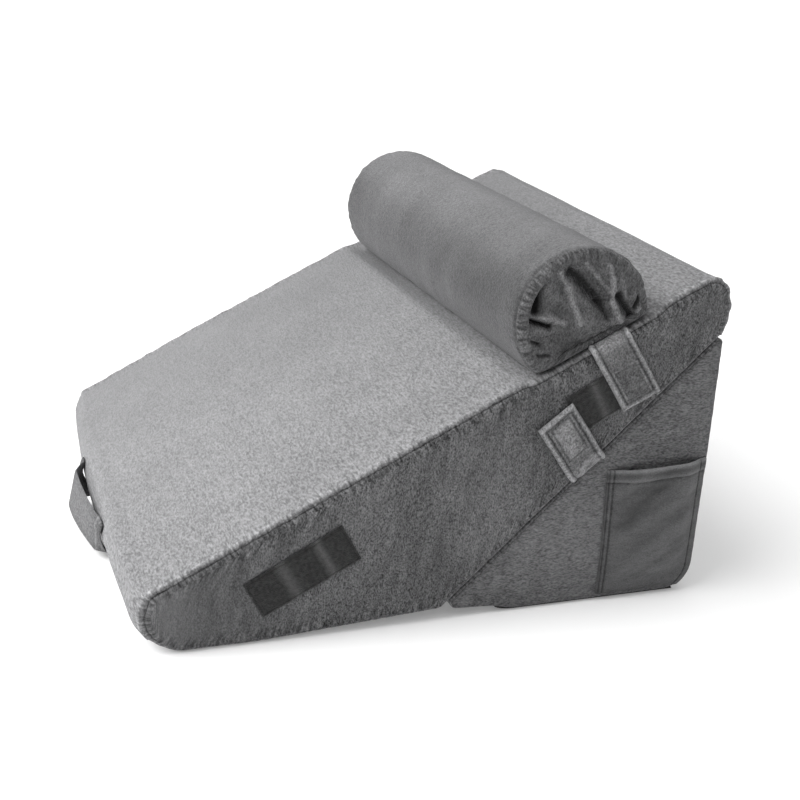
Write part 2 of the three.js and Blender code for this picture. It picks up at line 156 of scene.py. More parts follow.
def foam_block(corners, half, edge, relief, band_lift, side_lift, count, rows, widths):
    """A foam block in its cover. The outline is carried across the width; at each side it turns in through a
    quarter circle of the sewn edge's radius, and the side panel is ruled between the outline's lower and
    upper chains. relief moves the outline out and forward, band_lift and side_lift move the cloth along its
    normal. Raised cloth is painted a little lighter and sunk cloth darker, as painted light and shade on the
    folds. Gives points, quads and triangles, the seam values (s, d, tone) and which faces are side panel."""
    x, z, facing, s, perimeter = rounded_outline(corners, count)
    turn = np.linspace(0, np.pi / 2, 13)
    arc_y, arc_in = half - edge + edge * np.sin(turn), edge * (1 - np.cos(turn))
    y = np.concatenate([-arc_y[::-1], widths, arc_y])
    inset = np.concatenate([arc_in[::-1], np.zeros(len(widths)), arc_in])
    bend = np.concatenate([turn[::-1], np.zeros(len(widths)), turn])
    sign = np.concatenate([-np.ones(13), np.zeros(len(widths)), np.ones(13)])
    d = edge * (bend - SEAM_TURN) - np.maximum(half - edge - np.abs(y), 0)
    grid = np.broadcast_arrays(x[None], z[None], facing[None], s[None], y[:, None], d[:, None])
    gx, gz, gf, gs, gy, gd = grid
    out, ahead = relief(gx, gz, gf, gy)
    lift = band_lift(gs, gd, gx, gz, gf, gy, perimeter)
    push = out - inset[:, None] + lift * np.cos(bend)[:, None]
    aside = sign[:, None] * np.sin(bend)[:, None] * lift
    band = np.stack([gx - ahead + np.cos(gf) * push, gy + aside, gz + np.sin(gf) * push], axis=-1)
    band_index = np.arange(len(y) * count).reshape(len(y), count)
    # The tone here is painted light and shade: raised cloth lighter, sunk cloth darker.
    points, seam = [band.reshape(-1, 3)], [seam_values(gs, gd, np.clip(0.1 * lift, -0.25, 0.3))]
    quads, triangles, total = [], [], band_index.size
    after = np.roll(band_index, -1, axis=1)
    strips = np.stack([band_index[:-1], band_index[1:], after[1:], after[:-1]], axis=-1)
    quads.append(strips.reshape(-1, 4))
    beyond = (d[:-1] > 0) & (d[1:] > 0)
    sides = [np.repeat(beyond | (np.minimum(d[:-1], d[1:]) > -0.3), count)]
    middle = count // 2
    for near, ring in ((True, 0), (False, len(y) - 1)):
        rim = band[ring]
        lower = rim[:middle + 1]
        upper = np.concatenate([rim[:1], rim[: middle - 1 : -1]])
        share = np.linspace(0, 1, rows + 1)
        share = (share - 0.6 * np.sin(2 * np.pi * share) / (2 * np.pi))[1:-1, None, None]
        inner = lower[None, 1:-1] * (1 - share) + upper[None, 1:-1] * share
        px, pz = inner[..., 0], inner[..., 2]
        depth = distance_to_loop(px, pz, rim[:, 0], rim[:, 2])
        bulge = SIDE_FILL * (1 - (1 - np.clip(depth / SIDE_SPAN, 0, 1)) ** 2)
        s_low, s_high = s[1:middle], np.concatenate([s, [perimeter]])[:middle:-1][: middle - 1]
        shares = share[..., 0]
        run = np.linalg.norm(upper[1:-1] - lower[1:-1], axis=-1)[None]
        from_low, from_high = (s_low[None], shares * run), (s_high[None], (1 - shares) * run)
        lift = side_lift(px, pz, *from_low, *from_high, depth, perimeter, near)
        reach = half + bulge + lift
        inner = np.stack([px, -reach if near else reach, pz], axis=-1)
        seam_d = edge * (np.pi / 2 - SEAM_TURN) + depth
        nearest = np.where(shares > 0.5, s_high[None], s_low[None])
        points.append(inner.reshape(-1, 3))
        # Painted light and shade on the side panel: raised cloth lighter, sunk cloth darker.
        seam.append(seam_values(nearest, seam_d, np.clip(0.13 * lift, -0.3, 0.22)))
        index = np.empty((rows + 1, middle + 1), int)
        loop = band_index[ring]
        index[0], index[-1] = loop[: middle + 1], np.concatenate([loop[:1], loop[: middle - 1 : -1]])
        index[1:-1, 0], index[1:-1, -1] = loop[0], loop[middle]
        index[1:-1, 1:-1] = total + np.arange((rows - 1) * (middle - 1)).reshape(rows - 1, middle - 1)
        total += (rows - 1) * (middle - 1)
        panel = np.stack([index[:-1, :-1], index[:-1, 1:], index[1:, 1:], index[1:, :-1]], axis=-1)
        tip, inside, tail = panel[:, 0], panel[:, 1:-1].reshape(-1, 4), panel[:, -1]
        three = [tip[:, [0, 1, 2]], tail[:, [0, 1, 3]]]
        if not near:
            inside, three = inside[:, ::-1], [part[:, ::-1] for part in three]
        quads.append(inside)
        triangles += three
        sides.append(np.ones(len(inside), bool))
    triangles = np.concatenate(triangles)
    sides.append(np.ones(len(triangles), bool))
    faces = [np.concatenate(quads), triangles]
    return np.concatenate(points), faces, np.concatenate(seam), np.concatenate(sides)


def seam_values(s, d, tone):
    """The three values that the shader of a sewn seam reads, one row for each point: place along the seam and
    distance from it in millimetres, and how much lighter the cloth is painted, 0 for none. That tone is
    mostly painted light and shade on folds, hems and hollows."""
    return np.stack(np.broadcast_arrays(s, d, tone), axis=-1).reshape(-1, 3)


def make_piece(name, points, faces, materials, seam=None, second=None):
    """A smooth mesh from points in millimetres. The seam values are kept on it as one attribute, and the
    faces that second marks take the second material."""
    mesh = bpy.data.meshes.new(name)
    corners = np.concatenate([part.ravel() for part in faces]).astype(np.int32)
    sizes = np.concatenate([np.full(len(part), part.shape[1]) for part in faces])
    mesh.vertices.add(len(points))
    mesh.vertices.foreach_set("co", (points * MM + ORIGIN).ravel())
    mesh.loops.add(len(corners))
    mesh.loops.foreach_set("vertex_index", corners)
    mesh.polygons.add(len(sizes))
    mesh.polygons.foreach_set("loop_start", np.concatenate([[0], np.cumsum(sizes)[:-1]]).astype(np.int32))
    mesh.polygons.foreach_set("use_smooth", np.ones(len(sizes), bool))
    for material in materials:
        mesh.materials.append(material)
    if second is not None:
        mesh.polygons.foreach_set("material_index", second.astype(np.int32))
    if seam is not None:
        values = seam.astype(np.float32).ravel()
        mesh.attributes.new("seam", "FLOAT_VECTOR", "POINT").data.foreach_set("vector", values)
    mesh.update(calc_edges=True)
    mesh.validate()
    piece = bpy.data.objects.new(name, mesh)
    bpy.context.collection.objects.link(piece)
    return piece


class NodeTree:
    """Short ways to fill a tree of shader nodes. A value that is a socket is linked to the input of that name
    or number, and any other value is set on it."""

    def __init__(self, tree):
        self.tree = tree

    def fill(self, node, values):
        """Link or set the inputs of a node."""
        for key, value in values.items():
            if isinstance(value, bpy.types.NodeSocket):
                self.tree.links.new(value, node.inputs[key])
            else:
                node.inputs[key].default_value = value
        return node

    def add(self, kind, values=None, **settings):
        """A new node with its settings and inputs."""
        node = self.tree.nodes.new(kind)
        for key, value in settings.items():
            setattr(node, key, value)
        return self.fill(node, values or {})

    def math(self, operation, *values, **settings):
        """The sum, product or the like of its values."""
        return self.add("ShaderNodeMath", dict(enumerate(values)), operation=operation, **settings).outputs[0]

    def vector(self, operation, **values):
        """The same for places and colours, given as first, second and scale."""
        inputs = {{"first": 0, "second": 1, "scale": "Scale"}[key]: value for key, value in values.items()}
        return self.add("ShaderNodeVectorMath", inputs, operation=operation).outputs[0]

    def ranged(self, value, start, end, first, last, kind="LINEAR"):
        """first where the value is at start, last where it is at end, and held beyond them."""
        ends = {"Value": value, "From Min": start, "From Max": end, "To Min": first, "To Max": last}
        return self.add("ShaderNodeMapRange", ends, interpolation_type=kind).outputs[0]

    def noise(self, place, scale, detail, roughness=0.5):
        """Soft random values between 0 and 1, about scale of them to the metre."""
        values = {"Vector": place, "Scale": scale, "Detail": detail, "Roughness": roughness}
        return self.add("ShaderNodeTexNoise", values).outputs["Fac"]

    def relief(self, height, strength, distance):
        """The normal of a surface that is raised by height times distance, in metres."""
        values = {"Height": height, "Strength": strength, "Distance": distance}
        return self.add("ShaderNodeBump", values).outputs[0]

    def mapped(self, place, stretch, turn=(0, 0, 0)):
        """A place turned by angles in radians and multiplied by stretch."""
        return self.add("ShaderNodeMapping", {"Vector": place, "Rotation": turn, "Scale": stretch}).outputs[0]

    def grey(self, tone, *shades):
        """A slightly cool grey of that tone, multiplied by the shades."""
        shade = shades[0]
        for other in shades[1:]:
            shade = self.math("MULTIPLY", shade, other)
        return self.vector("SCALE", first=(tone, tone, tone * 1.02), scale=shade)


def new_group(name, usual, outputs):
    """A node group with the inputs of usual, each a number or None for a vector, and the numbers it gives.
    Also gives its tree, what it is given, and the node that it ends with."""
    group = bpy.data.node_groups.new(name, "ShaderNodeTree")
    for label, value in usual.items():
        kind = "NodeSocketVector" if value is None else "NodeSocketFloat"
        socket = group.interface.new_socket(label, in_out="INPUT", socket_type=kind)
        if value is not None:
            socket.default_value = value
    for label in outputs:
        group.interface.new_socket(label, in_out="OUTPUT", socket_type="NodeSocketFloat")
    nodes = NodeTree(group)
    return group, nodes, nodes.add("NodeGroupInput").outputs, nodes.add("NodeGroupOutput")


def nap_group():
    """Plush seen close: Height is short tufts on soft clumps. Shade darkens the gaps between tufts with
    painted shade, and lightens and darkens broad patches where the nap lies another way. Tufts, Clumps and
    Patches are counts per metre."""
    usual = {"Vector": None, "Tufts": 430.0, "Clumps": 120.0, "Patches": 9.0, "Gap depth": 0.3}
    usual["Patch depth"] = 0.12
    group, nodes, given, end = new_group("Plush nap", usual, ("Height", "Shade"))
    swirl = {"Vector": given["Vector"], "Scale": 45.0, "Detail": 1.0}
    colour = nodes.add("ShaderNodeTexNoise", swirl).outputs["Color"]
    centred = nodes.vector("ADD", first=colour, second=(-0.5, -0.5, -0.5))
    drift = nodes.vector("SCALE", first=centred, scale=0.006)
    moved = nodes.vector("ADD", first=given["Vector"], second=drift)
    tufts = nodes.noise(moved, given["Tufts"], 2.0, 0.55)
    clumps = nodes.noise(moved, given["Clumps"], 2.0)
    patches = nodes.noise(given["Vector"], given["Patches"], 3.0)
    height = nodes.math("MULTIPLY_ADD", clumps, 0.55, nodes.math("MULTIPLY", tufts, 0.6))
    blend = nodes.math("MULTIPLY_ADD", clumps, 0.35, tufts)
    # Painted shade in the gaps between the tufts.
    gap = nodes.math("MULTIPLY", nodes.ranged(blend, 0.47, 0.88, 0.95, -1.05), given["Gap depth"])
    patch = nodes.math("MULTIPLY", nodes.math("ADD", patches, -0.5), given["Patch depth"])
    shade = nodes.math("MULTIPLY_ADD", patch, 2.0, nodes.math("SUBTRACT", 1.0, gap))
    nodes.fill(end, {"Height": height, "Shade": shade})
    return group


def stitch_group():
    """A sewn seam, read from the piece's seam attribute. Shade darkens the uneven line of the stitches and,
    less, with painted shade, the cloth drawn in beside it. It adds short ticks of painted light and shade
    where the cloth is gathered across it, and adds the attribute's tone, which is mostly painted light and
    shade."""
    usual = {"Line width": 1.3, "Line depth": 0.5, "Drawn width": 7.0, "Drawn depth": 0.12, "Tick depth": 0.0}
    group, nodes, given, end = new_group("Sewn seam", usual, ("Shade",))
    seam = nodes.add("ShaderNodeAttribute", attribute_name="seam").outputs["Vector"]
    along, distance, tone = nodes.add("ShaderNodeSeparateXYZ", {0: seam}).outputs
    spot = nodes.add("ShaderNodeTexCoord").outputs["Object"]
    wander = nodes.math("MULTIPLY_ADD", nodes.noise(spot, 210.0, 2.0), 3.0, distance)
    off = nodes.math("ABSOLUTE", nodes.math("ADD", wander, -1.5))
    marks = []
    for mark in ("Line", "Drawn"):
        mask = nodes.ranged(off, 0.0, given[mark + " width"], 1.0, 0.0, "SMOOTHSTEP")
        marks.append(nodes.math("MULTIPLY", mask, given[mark + " depth"]))
    shade = nodes.math("SUBTRACT", 1.0, nodes.math("ADD", *marks), use_clamp=True)
    across = nodes.add("ShaderNodeCombineXYZ", {"X": along, "Y": distance}).outputs[0]
    across = nodes.vector("MULTIPLY", first=across, second=(0.3, 0.06, 1.0))
    # Ticks of painted light and shade on the gathers across the seam.
    ticks = nodes.ranged(nodes.noise(across, 1.0, 2.0), 0.35, 0.65, -1.0, 0.8)
    beside = nodes.ranged(nodes.math("ABSOLUTE", distance), 2.0, 21.0, 1.0, 0.0, "SMOOTHSTEP")
    ticks = nodes.math("MULTIPLY", nodes.math("MULTIPLY", ticks, beside), given["Tick depth"])
    # The attribute's tone is mostly painted light and shade, set per point.
    lighter = nodes.math("ADD", nodes.math("ADD", tone, 1.0), ticks)
    nodes.fill(end, {"Shade": nodes.math("MULTIPLY", shade, lighter)})
    return group


nap, stitches = nap_group(), stitch_group()


def new_material(name):
    """A material, its node tree, its shader, and each point's place in the object in metres."""
    material = bpy.data.materials.new(name)
    material.use_nodes = True
    nodes = NodeTree(material.node_tree)
    spot = nodes.add("ShaderNodeTexCoord").outputs["Object"]
    return material, nodes, material.node_tree.nodes["Principled BSDF"], spot


def plush_material(
    name,
    tone,
    stretch,
    tufts,
    clumps,
    gap,
    bump,
    sheen,
    patch=0.12,
    line=0.5,
    tick=0.4,
    turn=(0, 0, 0),
    calm=None,
):
    """Short-pile plush in one tone of grey. stretch draws the tufts out along the way the nap lies, in the
    axes that turn gives. gap, patch, line and tick are depths of shade: gap of the painted shade between the
    tufts, tick of the painted light and shade on gathers at a seam. calm gives an axis, two places on it in
    metres, and the share of the gaps' depth at the first; it is full at the second."""
    material, nodes, shader, spot = new_material(name)
    strength = gap
    if calm:
        axis, start, end, least = calm
        place = nodes.add("ShaderNodeSeparateXYZ", {0: spot}).outputs[axis]
        strength = nodes.ranged(place, start, end, gap * least, gap)
    pile = {"Vector": nodes.mapped(spot, stretch, turn), "Tufts": tufts, "Clumps": clumps}
    pile.update({"Gap depth": strength, "Patch depth": patch})
    cloth = nodes.add("ShaderNodeGroup", pile, node_tree=nap).outputs
    seam = nodes.add("ShaderNodeGroup", {"Line depth": line, "Tick depth": tick}, node_tree=stitches).outputs
    finish = {
        "Base Color": nodes.grey(tone, cloth["Shade"], seam["Shade"]),
        "Roughness": nodes.ranged(cloth["Height"], 0.3, 0.8, 1.0, 0.85),
        "Normal": nodes.relief(cloth["Height"], bump, 0.0026),
        "Specular IOR Level": 0.15,
        "Sheen Weight": sheen,
        "Sheen Roughness": 0.45,
        "Sheen Tint": (0.8, 0.8, 0.82, 1),
    }
    nodes.fill(shader, finish)
    return material


# The top panel's grey is lighter than the side panels', as painted light from above on the same plush.
plush_top = plush_material(
    "plush_top_panel",
    tone=0.213,
    stretch=(1.0, 0.4, 1.0),
    tufts=480.0,
    clumps=230.0,
    gap=0.4,
    bump=0.9,
    sheen=0.12,
    tick=0.42,
    calm=("Y", 0.25, -0.27, 0.35),
)
# The base wedge's side panel is a darker grey than the top panel, as painted shade on the same plush.
plush_base = plush_material(
    "plush_base_panel",
    tone=0.14,
    stretch=(0.4, 1.0, 1.0),
    turn=(0, 0.5, 0),
    tufts=700.0,
    clumps=280.0,
    gap=0.5,
    patch=0.35,
    bump=0.8,
    sheen=0.12,
    line=0.0,
    tick=0.1,
)

BASE_HALF, BASE_EDGE, BASE_BACK, UNDER = 299, 4, 602, 2.75
base_corners = (
    # x, z, radius
    (318, 10.5, 8),  # underside of the toe
    (366, 7.5, 15),  # where the grip cloth starts
    (386, UNDER, 15),
    (BASE_BACK, UNDER, 34),
    (BASE_BACK + 5, 170, 200),
    (BASE_BACK + 7, join_height(BASE_BACK + 7) - 0.7, 4.5),  # the apex
    (317, join_height(317) - 0.7, 5),  # top of the toe
)


def base_band(s, d, x, z, facing, y, perimeter):
    """The seam draws in a narrow groove, and small folds run from it over the panel round the block."""
    off = np.abs(d)
    groove = -0.4 * bell(d, 1.6)
    small = pleats(s, off, perimeter, 7, 2.6, 0.5, 9, 21) * smooth(0, 3, off)
    return groove + np.where(np.sin(facing) < -0.9, np.minimum(small, 0), small) * smooth(-60, -20, d)


def base_side(x, z, s_low, d_low, s_high, d_high, depth, perimeter, near):
    """Folds from the two seams, long ones near the toe, and lying wrinkles."""
    toe = 1 + 1.6 * smooth(430, 350, x)
    low = pleats(s_low, d_low, perimeter, 8, 2.8, 0.75, 24, 31) * toe
    high = pleats(s_high, d_high, perimeter, 8, 2.8, 0.6, 16, 41)
    wrinkle = 0.8 * soft_noise((x - z * 0.2) / 9, z / 30, 51, 3) * smooth(480, 400, x)
    wrinkle = wrinkle + 0.6 * soft_noise(x / 30 + z / 90, z / 10, 53, 3)
    return smooth(0, 6, depth) * np.clip(1.3 * (low + high) + wrinkle, -2.4, 1.8)


def base_relief(x, z, facing, y):
    """The base wedge's foam is cut flat, so its outline is moved neither out nor forward."""
    return 0 * y, 0 * y


def stations_across(edge, fine, coarse, edge_count, middle_count):
    """Stations across a block: close from edge in to fine at both sides, wider apart between them, from
    coarse to coarse."""
    side = np.linspace(fine, edge, edge_count)
    return np.concatenate([-side[::-1], np.linspace(-coarse, coarse, middle_count), side])


base_widths = stations_across(292, 270, 262, 8, 30)
cover_points, cover_faces, cover_seam, cover_side = foam_block(
    base_corners, BASE_HALF, BASE_EDGE, base_relief, base_band, base_side, 400, 64, base_widths
)
base_panels = [plush_top, plush_base]
base_wedge = make_piece("base_wedge_cover", cover_points, cover_faces, base_panels, cover_seam, cover_side)
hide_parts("base_wedge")
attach(base_wedge, "root")

# The grip cloth. A flat sheet of dark non-slip cloth sewn under the base wedge, its front edge curled up
# under the toe. It is thin and ribbed, and shows as a dark line along the floor.
GRIP_FRONT, GRIP_BACK, GRIP_HALF, GRIP_THICK = 370, 583, 294, 2.4


def two_faced(outer, inner):
    """Points and faces of a closed sheet between an outer and an inner grid of the same shape (rows, columns,
    3). Seen from outside, rows go up and columns to the right."""
    rows, columns = outer.shape[:2]
    index = np.arange(2 * rows * columns).reshape(2, rows, columns)
    front, back = index

    def quads(a, b, c, d):
        return np.stack([a, b, c, d], axis=-1).reshape(-1, 4)

    faces = [
        quads(front[:-1, :-1], front[:-1, 1:], front[1:, 1:], front[1:, :-1]),
        quads(back[:-1, :-1], back[1:, :-1], back[1:, 1:], back[:-1, 1:]),
        quads(front[0, :-1], back[0, :-1], back[0, 1:], front[0, 1:]),
        quads(front[-1, :-1], front[-1, 1:], back[-1, 1:], back[-1, :-1]),
        quads(front[:-1, 0], front[1:, 0], back[1:, 0], back[:-1, 0]),
        quads(front[:-1, -1], back[:-1, -1], back[1:, -1], front[1:, -1]),
    ]
    return np.concatenate([outer.reshape(-1, 3), inner.reshape(-1, 3)]), [np.concatenate(faces)]


def both_faces(s, d, tone):
    """The seam values of such a sheet, the same on its two faces."""
    return np.tile(seam_values(s, d, tone), (2, 1))


def ribbed_material():
    """Dark rubbery cloth: fine ribs across, a little worn grey on their tops."""
    material, nodes, shader, spot = new_material("grip_cloth")
    wave = {"Vector": spot, "Scale": 95.0, "Distortion": 0.6, "Detail": 1.0}
    ribs = nodes.add("ShaderNodeTexWave", wave, bands_direction="X").outputs["Fac"]
    worn = nodes.math("MULTIPLY", ribs, nodes.noise(spot, 60.0, 4.0))
    tone = nodes.ranged(worn, 0.0, 1.0, 0.018, 0.06)
    nodes.fill(shader, {"Base Color": tone, "Normal": nodes.relief(ribs, 0.6, 0.0008), "Roughness": 0.6})
    return material


u, v = np.meshgrid(np.linspace(0, 1, 110), np.linspace(0, 1, 150))
curl = np.maximum(0, 4.4 * np.exp(-26 * u) - 0.3)
grip_x = GRIP_FRONT + (GRIP_BACK - GRIP_FRONT) * u
grip_y = GRIP_HALF * (2 * v - 1)
off_side = np.minimum(v, 1 - v)
rounded = np.minimum(0.9 * (1 - smooth(0, 0.012, u)) + 0.9 * (1 - smooth(0, 0.006, off_side)), 1)
wave = 0.15 * soft_noise(u * 9, v * 14, 61) * smooth(0, 0.1, u)
grip_top = np.stack([grip_x, grip_y, GRIP_THICK + curl - rounded + np.minimum(wave, 0)], axis=-1)
grip_bottom = np.stack([grip_x, grip_y, curl + rounded * 0.6], axis=-1)
grip_cloth = make_piece("grip_cloth_sheet", *two_faced(grip_top, grip_bottom), [ribbed_material()])
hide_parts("grip_cloth")
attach(grip_cloth, "root")

# The side pocket. One layer of smoother cloth sewn to the base wedge's side along its two upright edges and
# its foot. The mouth is hemmed, lies a little open, and the cloth hangs in slack slanting creases.
POCKET_LEFT, POCKET_TOP, POCKET_LIFT, POCKET_FOOT = 485, 155, 4, 9
POCKET_GAPE, POCKET_HEM, POCKET_ROOM, POCKET_THICK = 8.5, 14, 0.6, 2.2
base_loop = rounded_outline(base_corners, 400)[:2]


def side_reach(x, z, loop, half, edge):
    """How far a side panel stands out at a point: half the width, less the quarter circle near its edge,
    plus a bulge 1 - (1 - t)^2 that is full at SIDE_SPAN from the edge."""
    depth = distance_to_loop(x, z, *loop)
    turn_in = np.maximum(0, edge - depth)
    rounding = edge - np.sqrt(edge * edge - turn_in * turn_in)
    left = 1 - np.clip((depth - edge) / SIDE_SPAN, 0, 1)
    return half - rounding + SIDE_FILL * (1 - left * left)


def rear_edge(z, loop):
    """Greatest depth of an outline at each height, from its straight pieces behind the middle."""
    behind = loop[0] > 560
    order = np.argsort(loop[1][behind])
    return np.interp(z, loop[1][behind][order], loop[0][behind][order])


def pocket_material(tone):
    """Smoother woven cloth: a fine weave, soft worn streaks, and the sewn lines darkened."""
    material, nodes, shader, spot = new_material("pocket_cloth")
    weave = {"Vector": nodes.mapped(spot, (0.7, 1.0, 1.3), (0, 0.5, 0)), "Tufts": 900.0, "Clumps": 220.0}
    weave.update({"Gap depth": 0.3, "Patch depth": 0.2})
    cloth = nodes.add("ShaderNodeGroup", weave, node_tree=nap).outputs
    stitching = {"Line width": 1.5, "Line depth": 0.45, "Drawn width": 6.0, "Drawn depth": 0.1}
    seam = nodes.add("ShaderNodeGroup", stitching, node_tree=stitches).outputs
    streaks = nodes.noise(nodes.mapped(spot, (18.0, 30.0, 90.0), (0, 0.6, 0)), 1.0, 3.0)
    worn = nodes.ranged(streaks, 0.3, 0.7, 0.88, 1.12)
    finish = {
        "Base Color": nodes.grey(tone, cloth["Shade"], seam["Shade"], worn),
        "Normal": nodes.relief(cloth["Height"], 0.35, 0.0008),
        "Roughness": 0.9,
        "Specular IOR Level": 0.2,
        "Sheen Weight": 0.2,
        "Sheen Roughness": 0.5,
    }
    nodes.fill(shader, finish)
    return material


even_u, even_v = np.meshgrid(np.linspace(0, 1, 130), np.linspace(0, 1, 130))
u, v = 1 - (1 - even_u) ** 1.4, even_v**1.15
pocket_z = POCKET_FOOT + (POCKET_TOP + POCKET_LIFT * u - POCKET_FOOT) * v
rear = rear_edge(pocket_z, base_loop) - 3.2
pocket_x = POCKET_LEFT + (rear - POCKET_LEFT) * u
from_left, from_rear = pocket_x - POCKET_LEFT, rear - pocket_x
from_top = POCKET_TOP + POCKET_LIFT * u - pocket_z
slack = smooth(0, 0.26, u) * smooth(0, 0.26, 1 - u)
gape = POCKET_GAPE * slack * smooth(0, 0.55, v)
hem_line = np.abs(from_top - POCKET_HEM)
hem = 1.1 * smooth(-0.5, 1.5, POCKET_HEM - from_top) - 0.9 * bell(hem_line, 1.0)
hem = hem - 1.5 * (1 - smooth(0, 1.6, from_top)) ** 2
double = np.minimum(np.abs(from_left - 2.6), np.abs(from_left - 7.2))
rear_seam = np.abs(from_rear - 8.5)
sewn = -0.9 * bell(double, 1.1) - 0.7 * bell(rear_seam, 1.1)
sewn += 0.3 * bell(from_left - 4.9, 1.4) - 1.2 * (1 - smooth(0, 1.6, np.minimum(from_left, from_rear)))
lean, rise = pocket_x * 0.56 - pocket_z * 0.83, pocket_x * 0.83 + pocket_z * 0.56
crease = 1.9 * soft_noise(lean / 17, rise / 80, 71, 2) * slack * smooth(0.02, 0.25, v)
crease += 0.8 * soft_noise(pocket_z / 11, pocket_x / 55, 73, 2) * slack * smooth(0.3, 0.8, v)
wall = side_reach(pocket_x, pocket_z, base_loop, BASE_HALF, BASE_EDGE)
inside = np.stack([pocket_x, -(wall + POCKET_ROOM + np.maximum(gape + crease * 0.6, 0)), pocket_z], axis=-1)
outside = inside.copy()
outside[..., 1] -= np.maximum(POCKET_THICK + hem + sewn + crease * 0.4, 0.4)
pocket_points, pocket_faces = two_faced(outside, inside)
stitch_off = np.minimum(np.minimum(double, rear_seam), np.minimum(hem_line, pocket_z - POCKET_FOOT + 0.5))
# Painted light and shade: the creases lit and shaded, the mouth's top edge and a strip above the hem's
# stitching lighter, a band under the top edge darker, the sewn lines darker and the cloth between the double
# stitching lighter.
pocket_painted_light = 0.17 * crease + 1.3 * bell(from_top, 2.6) + 0.4 * bell(from_top - POCKET_HEM + 2.6, 1.6)
pocket_painted_light = pocket_painted_light - 0.25 * bell(from_top - 6.0, 2.5) + 0.35 * sewn
pocket_seam = both_faces(pocket_x + pocket_z, stitch_off, np.clip(pocket_painted_light, -0.5, 1.1))
pocket_cloth = pocket_material(0.092)
side_pocket = make_piece("side_pocket_cloth", pocket_points, pocket_faces, [pocket_cloth], pocket_seam)
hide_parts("side_pocket")
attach(side_pocket, "root")

# The long wedge. A long block of soft foam with a blunt nose. One plush panel runs up the nose, over the
# slope and down the back end, and a tapering panel closes each side; the seams pull the cloth into small
# folds.
HALF, EDGE, RISE, NOSE_TOP, CROWN, NOSE_FILL = 301, 9, 0.4989, 66.7, 6, 13.5
SLOPE = np.array([1, RISE]) / np.hypot(1, RISE)
LIFT = np.array([-SLOPE[1], SLOPE[0]])
ROLL_ALONG, ROLL_SKEW, ROLL_RADIUS, ROLL_CENTRE, ROLL_SUNK = 512.5, -10, 74.3, 29.8, 4
ROLL_NEAR, ROLL_FAR, ROLL_RIM, ROLL_FILL = -299, 279, 12, 4
DIP_HALF, DIP_RAMP, DIP_DEPTH, DIP_FADE, DIP_MARGIN = 70, 22, ROLL_SUNK + 0.4, 36, 6
wedge_corners = (
    # x, z, radius
    (1, 0, 44),  # under the nose
    (112, 0, 60),  # where the underside starts to lift
    (307, join_height(307), 12),  # the bend onto the base wedge
    (606, join_height(606), 11),  # bottom of the back end
    (613, 322, 24),  # fullest point of the back end
    (606, NOSE_TOP + RISE * 606, 22),  # top of the back end
    (1, NOSE_TOP + RISE, 17),  # top of the nose
    (-6, 44, 16),  # fullest point of the nose
)
WEDGE_LENGTH = 606 / SLOPE[0]
NOSE_SHARE, NOSE_REACH = 0.9, 30


def roll_along(y):
    """Place of the head roll's axis up the slope: a straight line from its near to its far end."""
    return ROLL_ALONG + ROLL_SKEW * (y - ROLL_NEAR) / (ROLL_FAR - ROLL_NEAR)


def wedge_relief(x, z, facing, y):
    """How far the nose and the slope bulge: the nose as 1 - |t|^2.4 across, the slope as 1 - t^2 across and
    less at its ends. Where the head roll lies the slope is pressed down, fading out past its far end. Gives
    how far the cloth lies off its outline and how far forward of it."""
    on_nose = smooth(0.45, 0.9, -np.cos(facing))
    edge = 1 - np.clip((HALF - np.abs(y)) / NOSE_REACH, 0, 1)
    front = NOSE_FILL * np.maximum(0, 1 - np.abs((y + 60) / 360) ** 2.4) * (1 - NOSE_SHARE * edge**2)
    on_slope = smooth(0.9, 0.999, np.cos(facing) * LIFT[0] + np.sin(facing) * LIFT[1])
    along = x * SLOPE[0] + (z - NOSE_TOP) * SLOPE[1]
    length = 0.35 + 0.65 * smooth(0, 200, along) * smooth(0, 120, WEDGE_LENGTH - along)
    crown = CROWN * length * (1 - ((HALF - y) / (2 * HALF)) ** 2)
    across = smooth(0, DIP_RAMP, DIP_HALF + DIP_RAMP - np.abs(along - roll_along(y)))
    pressed = across * smooth(0, DIP_FADE, ROLL_FAR + DIP_FADE - DIP_MARGIN - y)
    return on_slope * (crown * (1 - pressed) - DIP_DEPTH * pressed), on_nose * front


def patch_mask(x, z, middle, up, half_wide, half_long, margin=4):
    """1 under a sewn-on patch and 0 outside it: a rectangle about middle whose long side runs up."""
    a = (x - middle[0]) * up[0] + (z - middle[1]) * up[1]
    b = (x - middle[0]) * up[1] - (z - middle[1]) * up[0]
    return smooth(-margin, 1, half_long - np.abs(a)) * smooth(-margin, 1, half_wide - np.abs(b))


def wedge_band(s, d, x, z, facing, y, perimeter):
    """A groove at the seam, the top panel standing up beside it in a low round edge, and small folds that run
    from it over the edge. Nothing stands out where the cushion rests on something."""
    off = np.abs(d)
    far_side = smooth(0, 200, y)
    groove = -1.5 * bell(d, 1.5) * (1 + 0.4 * soft_noise(s / 9, d / 3, 80))
    lip = 1.4 * bell(d + 4.0, 2.6) * (1 + 0.7 * soft_noise(s / 9, 0 * s, 81)) * (1 - 0.5 * far_side)
    small = pleats(s, off, perimeter, 5.5, 2.2, 1.3, 7, 82) + pleats(s, off, perimeter, 17, 5, 0.9, 26, 83)
    small = small * smooth(0, 3, off) * smooth(-80, -30, d) * (1 - 0.75 * far_side)
    resting = np.sin(facing) < -0.6
    along = x * SLOPE[0] + (z - NOSE_TOP) * SLOPE[1]
    near_roll = smooth(0, 14, np.abs(along - roll_along(y)) - DIP_HALF - 6)
    near_roll = np.where(np.cos(facing) * LIFT[0] + np.sin(facing) * LIFT[1] > 0.9, near_roll, 1)
    slack = 0.5 * soft_noise(x / 60, y / 45, 84, 3) * smooth(-10, -40, d)
    free = lip + small + slack
    return groove + np.where(resting, np.minimum(small, 0) * 0.5, free * near_roll)


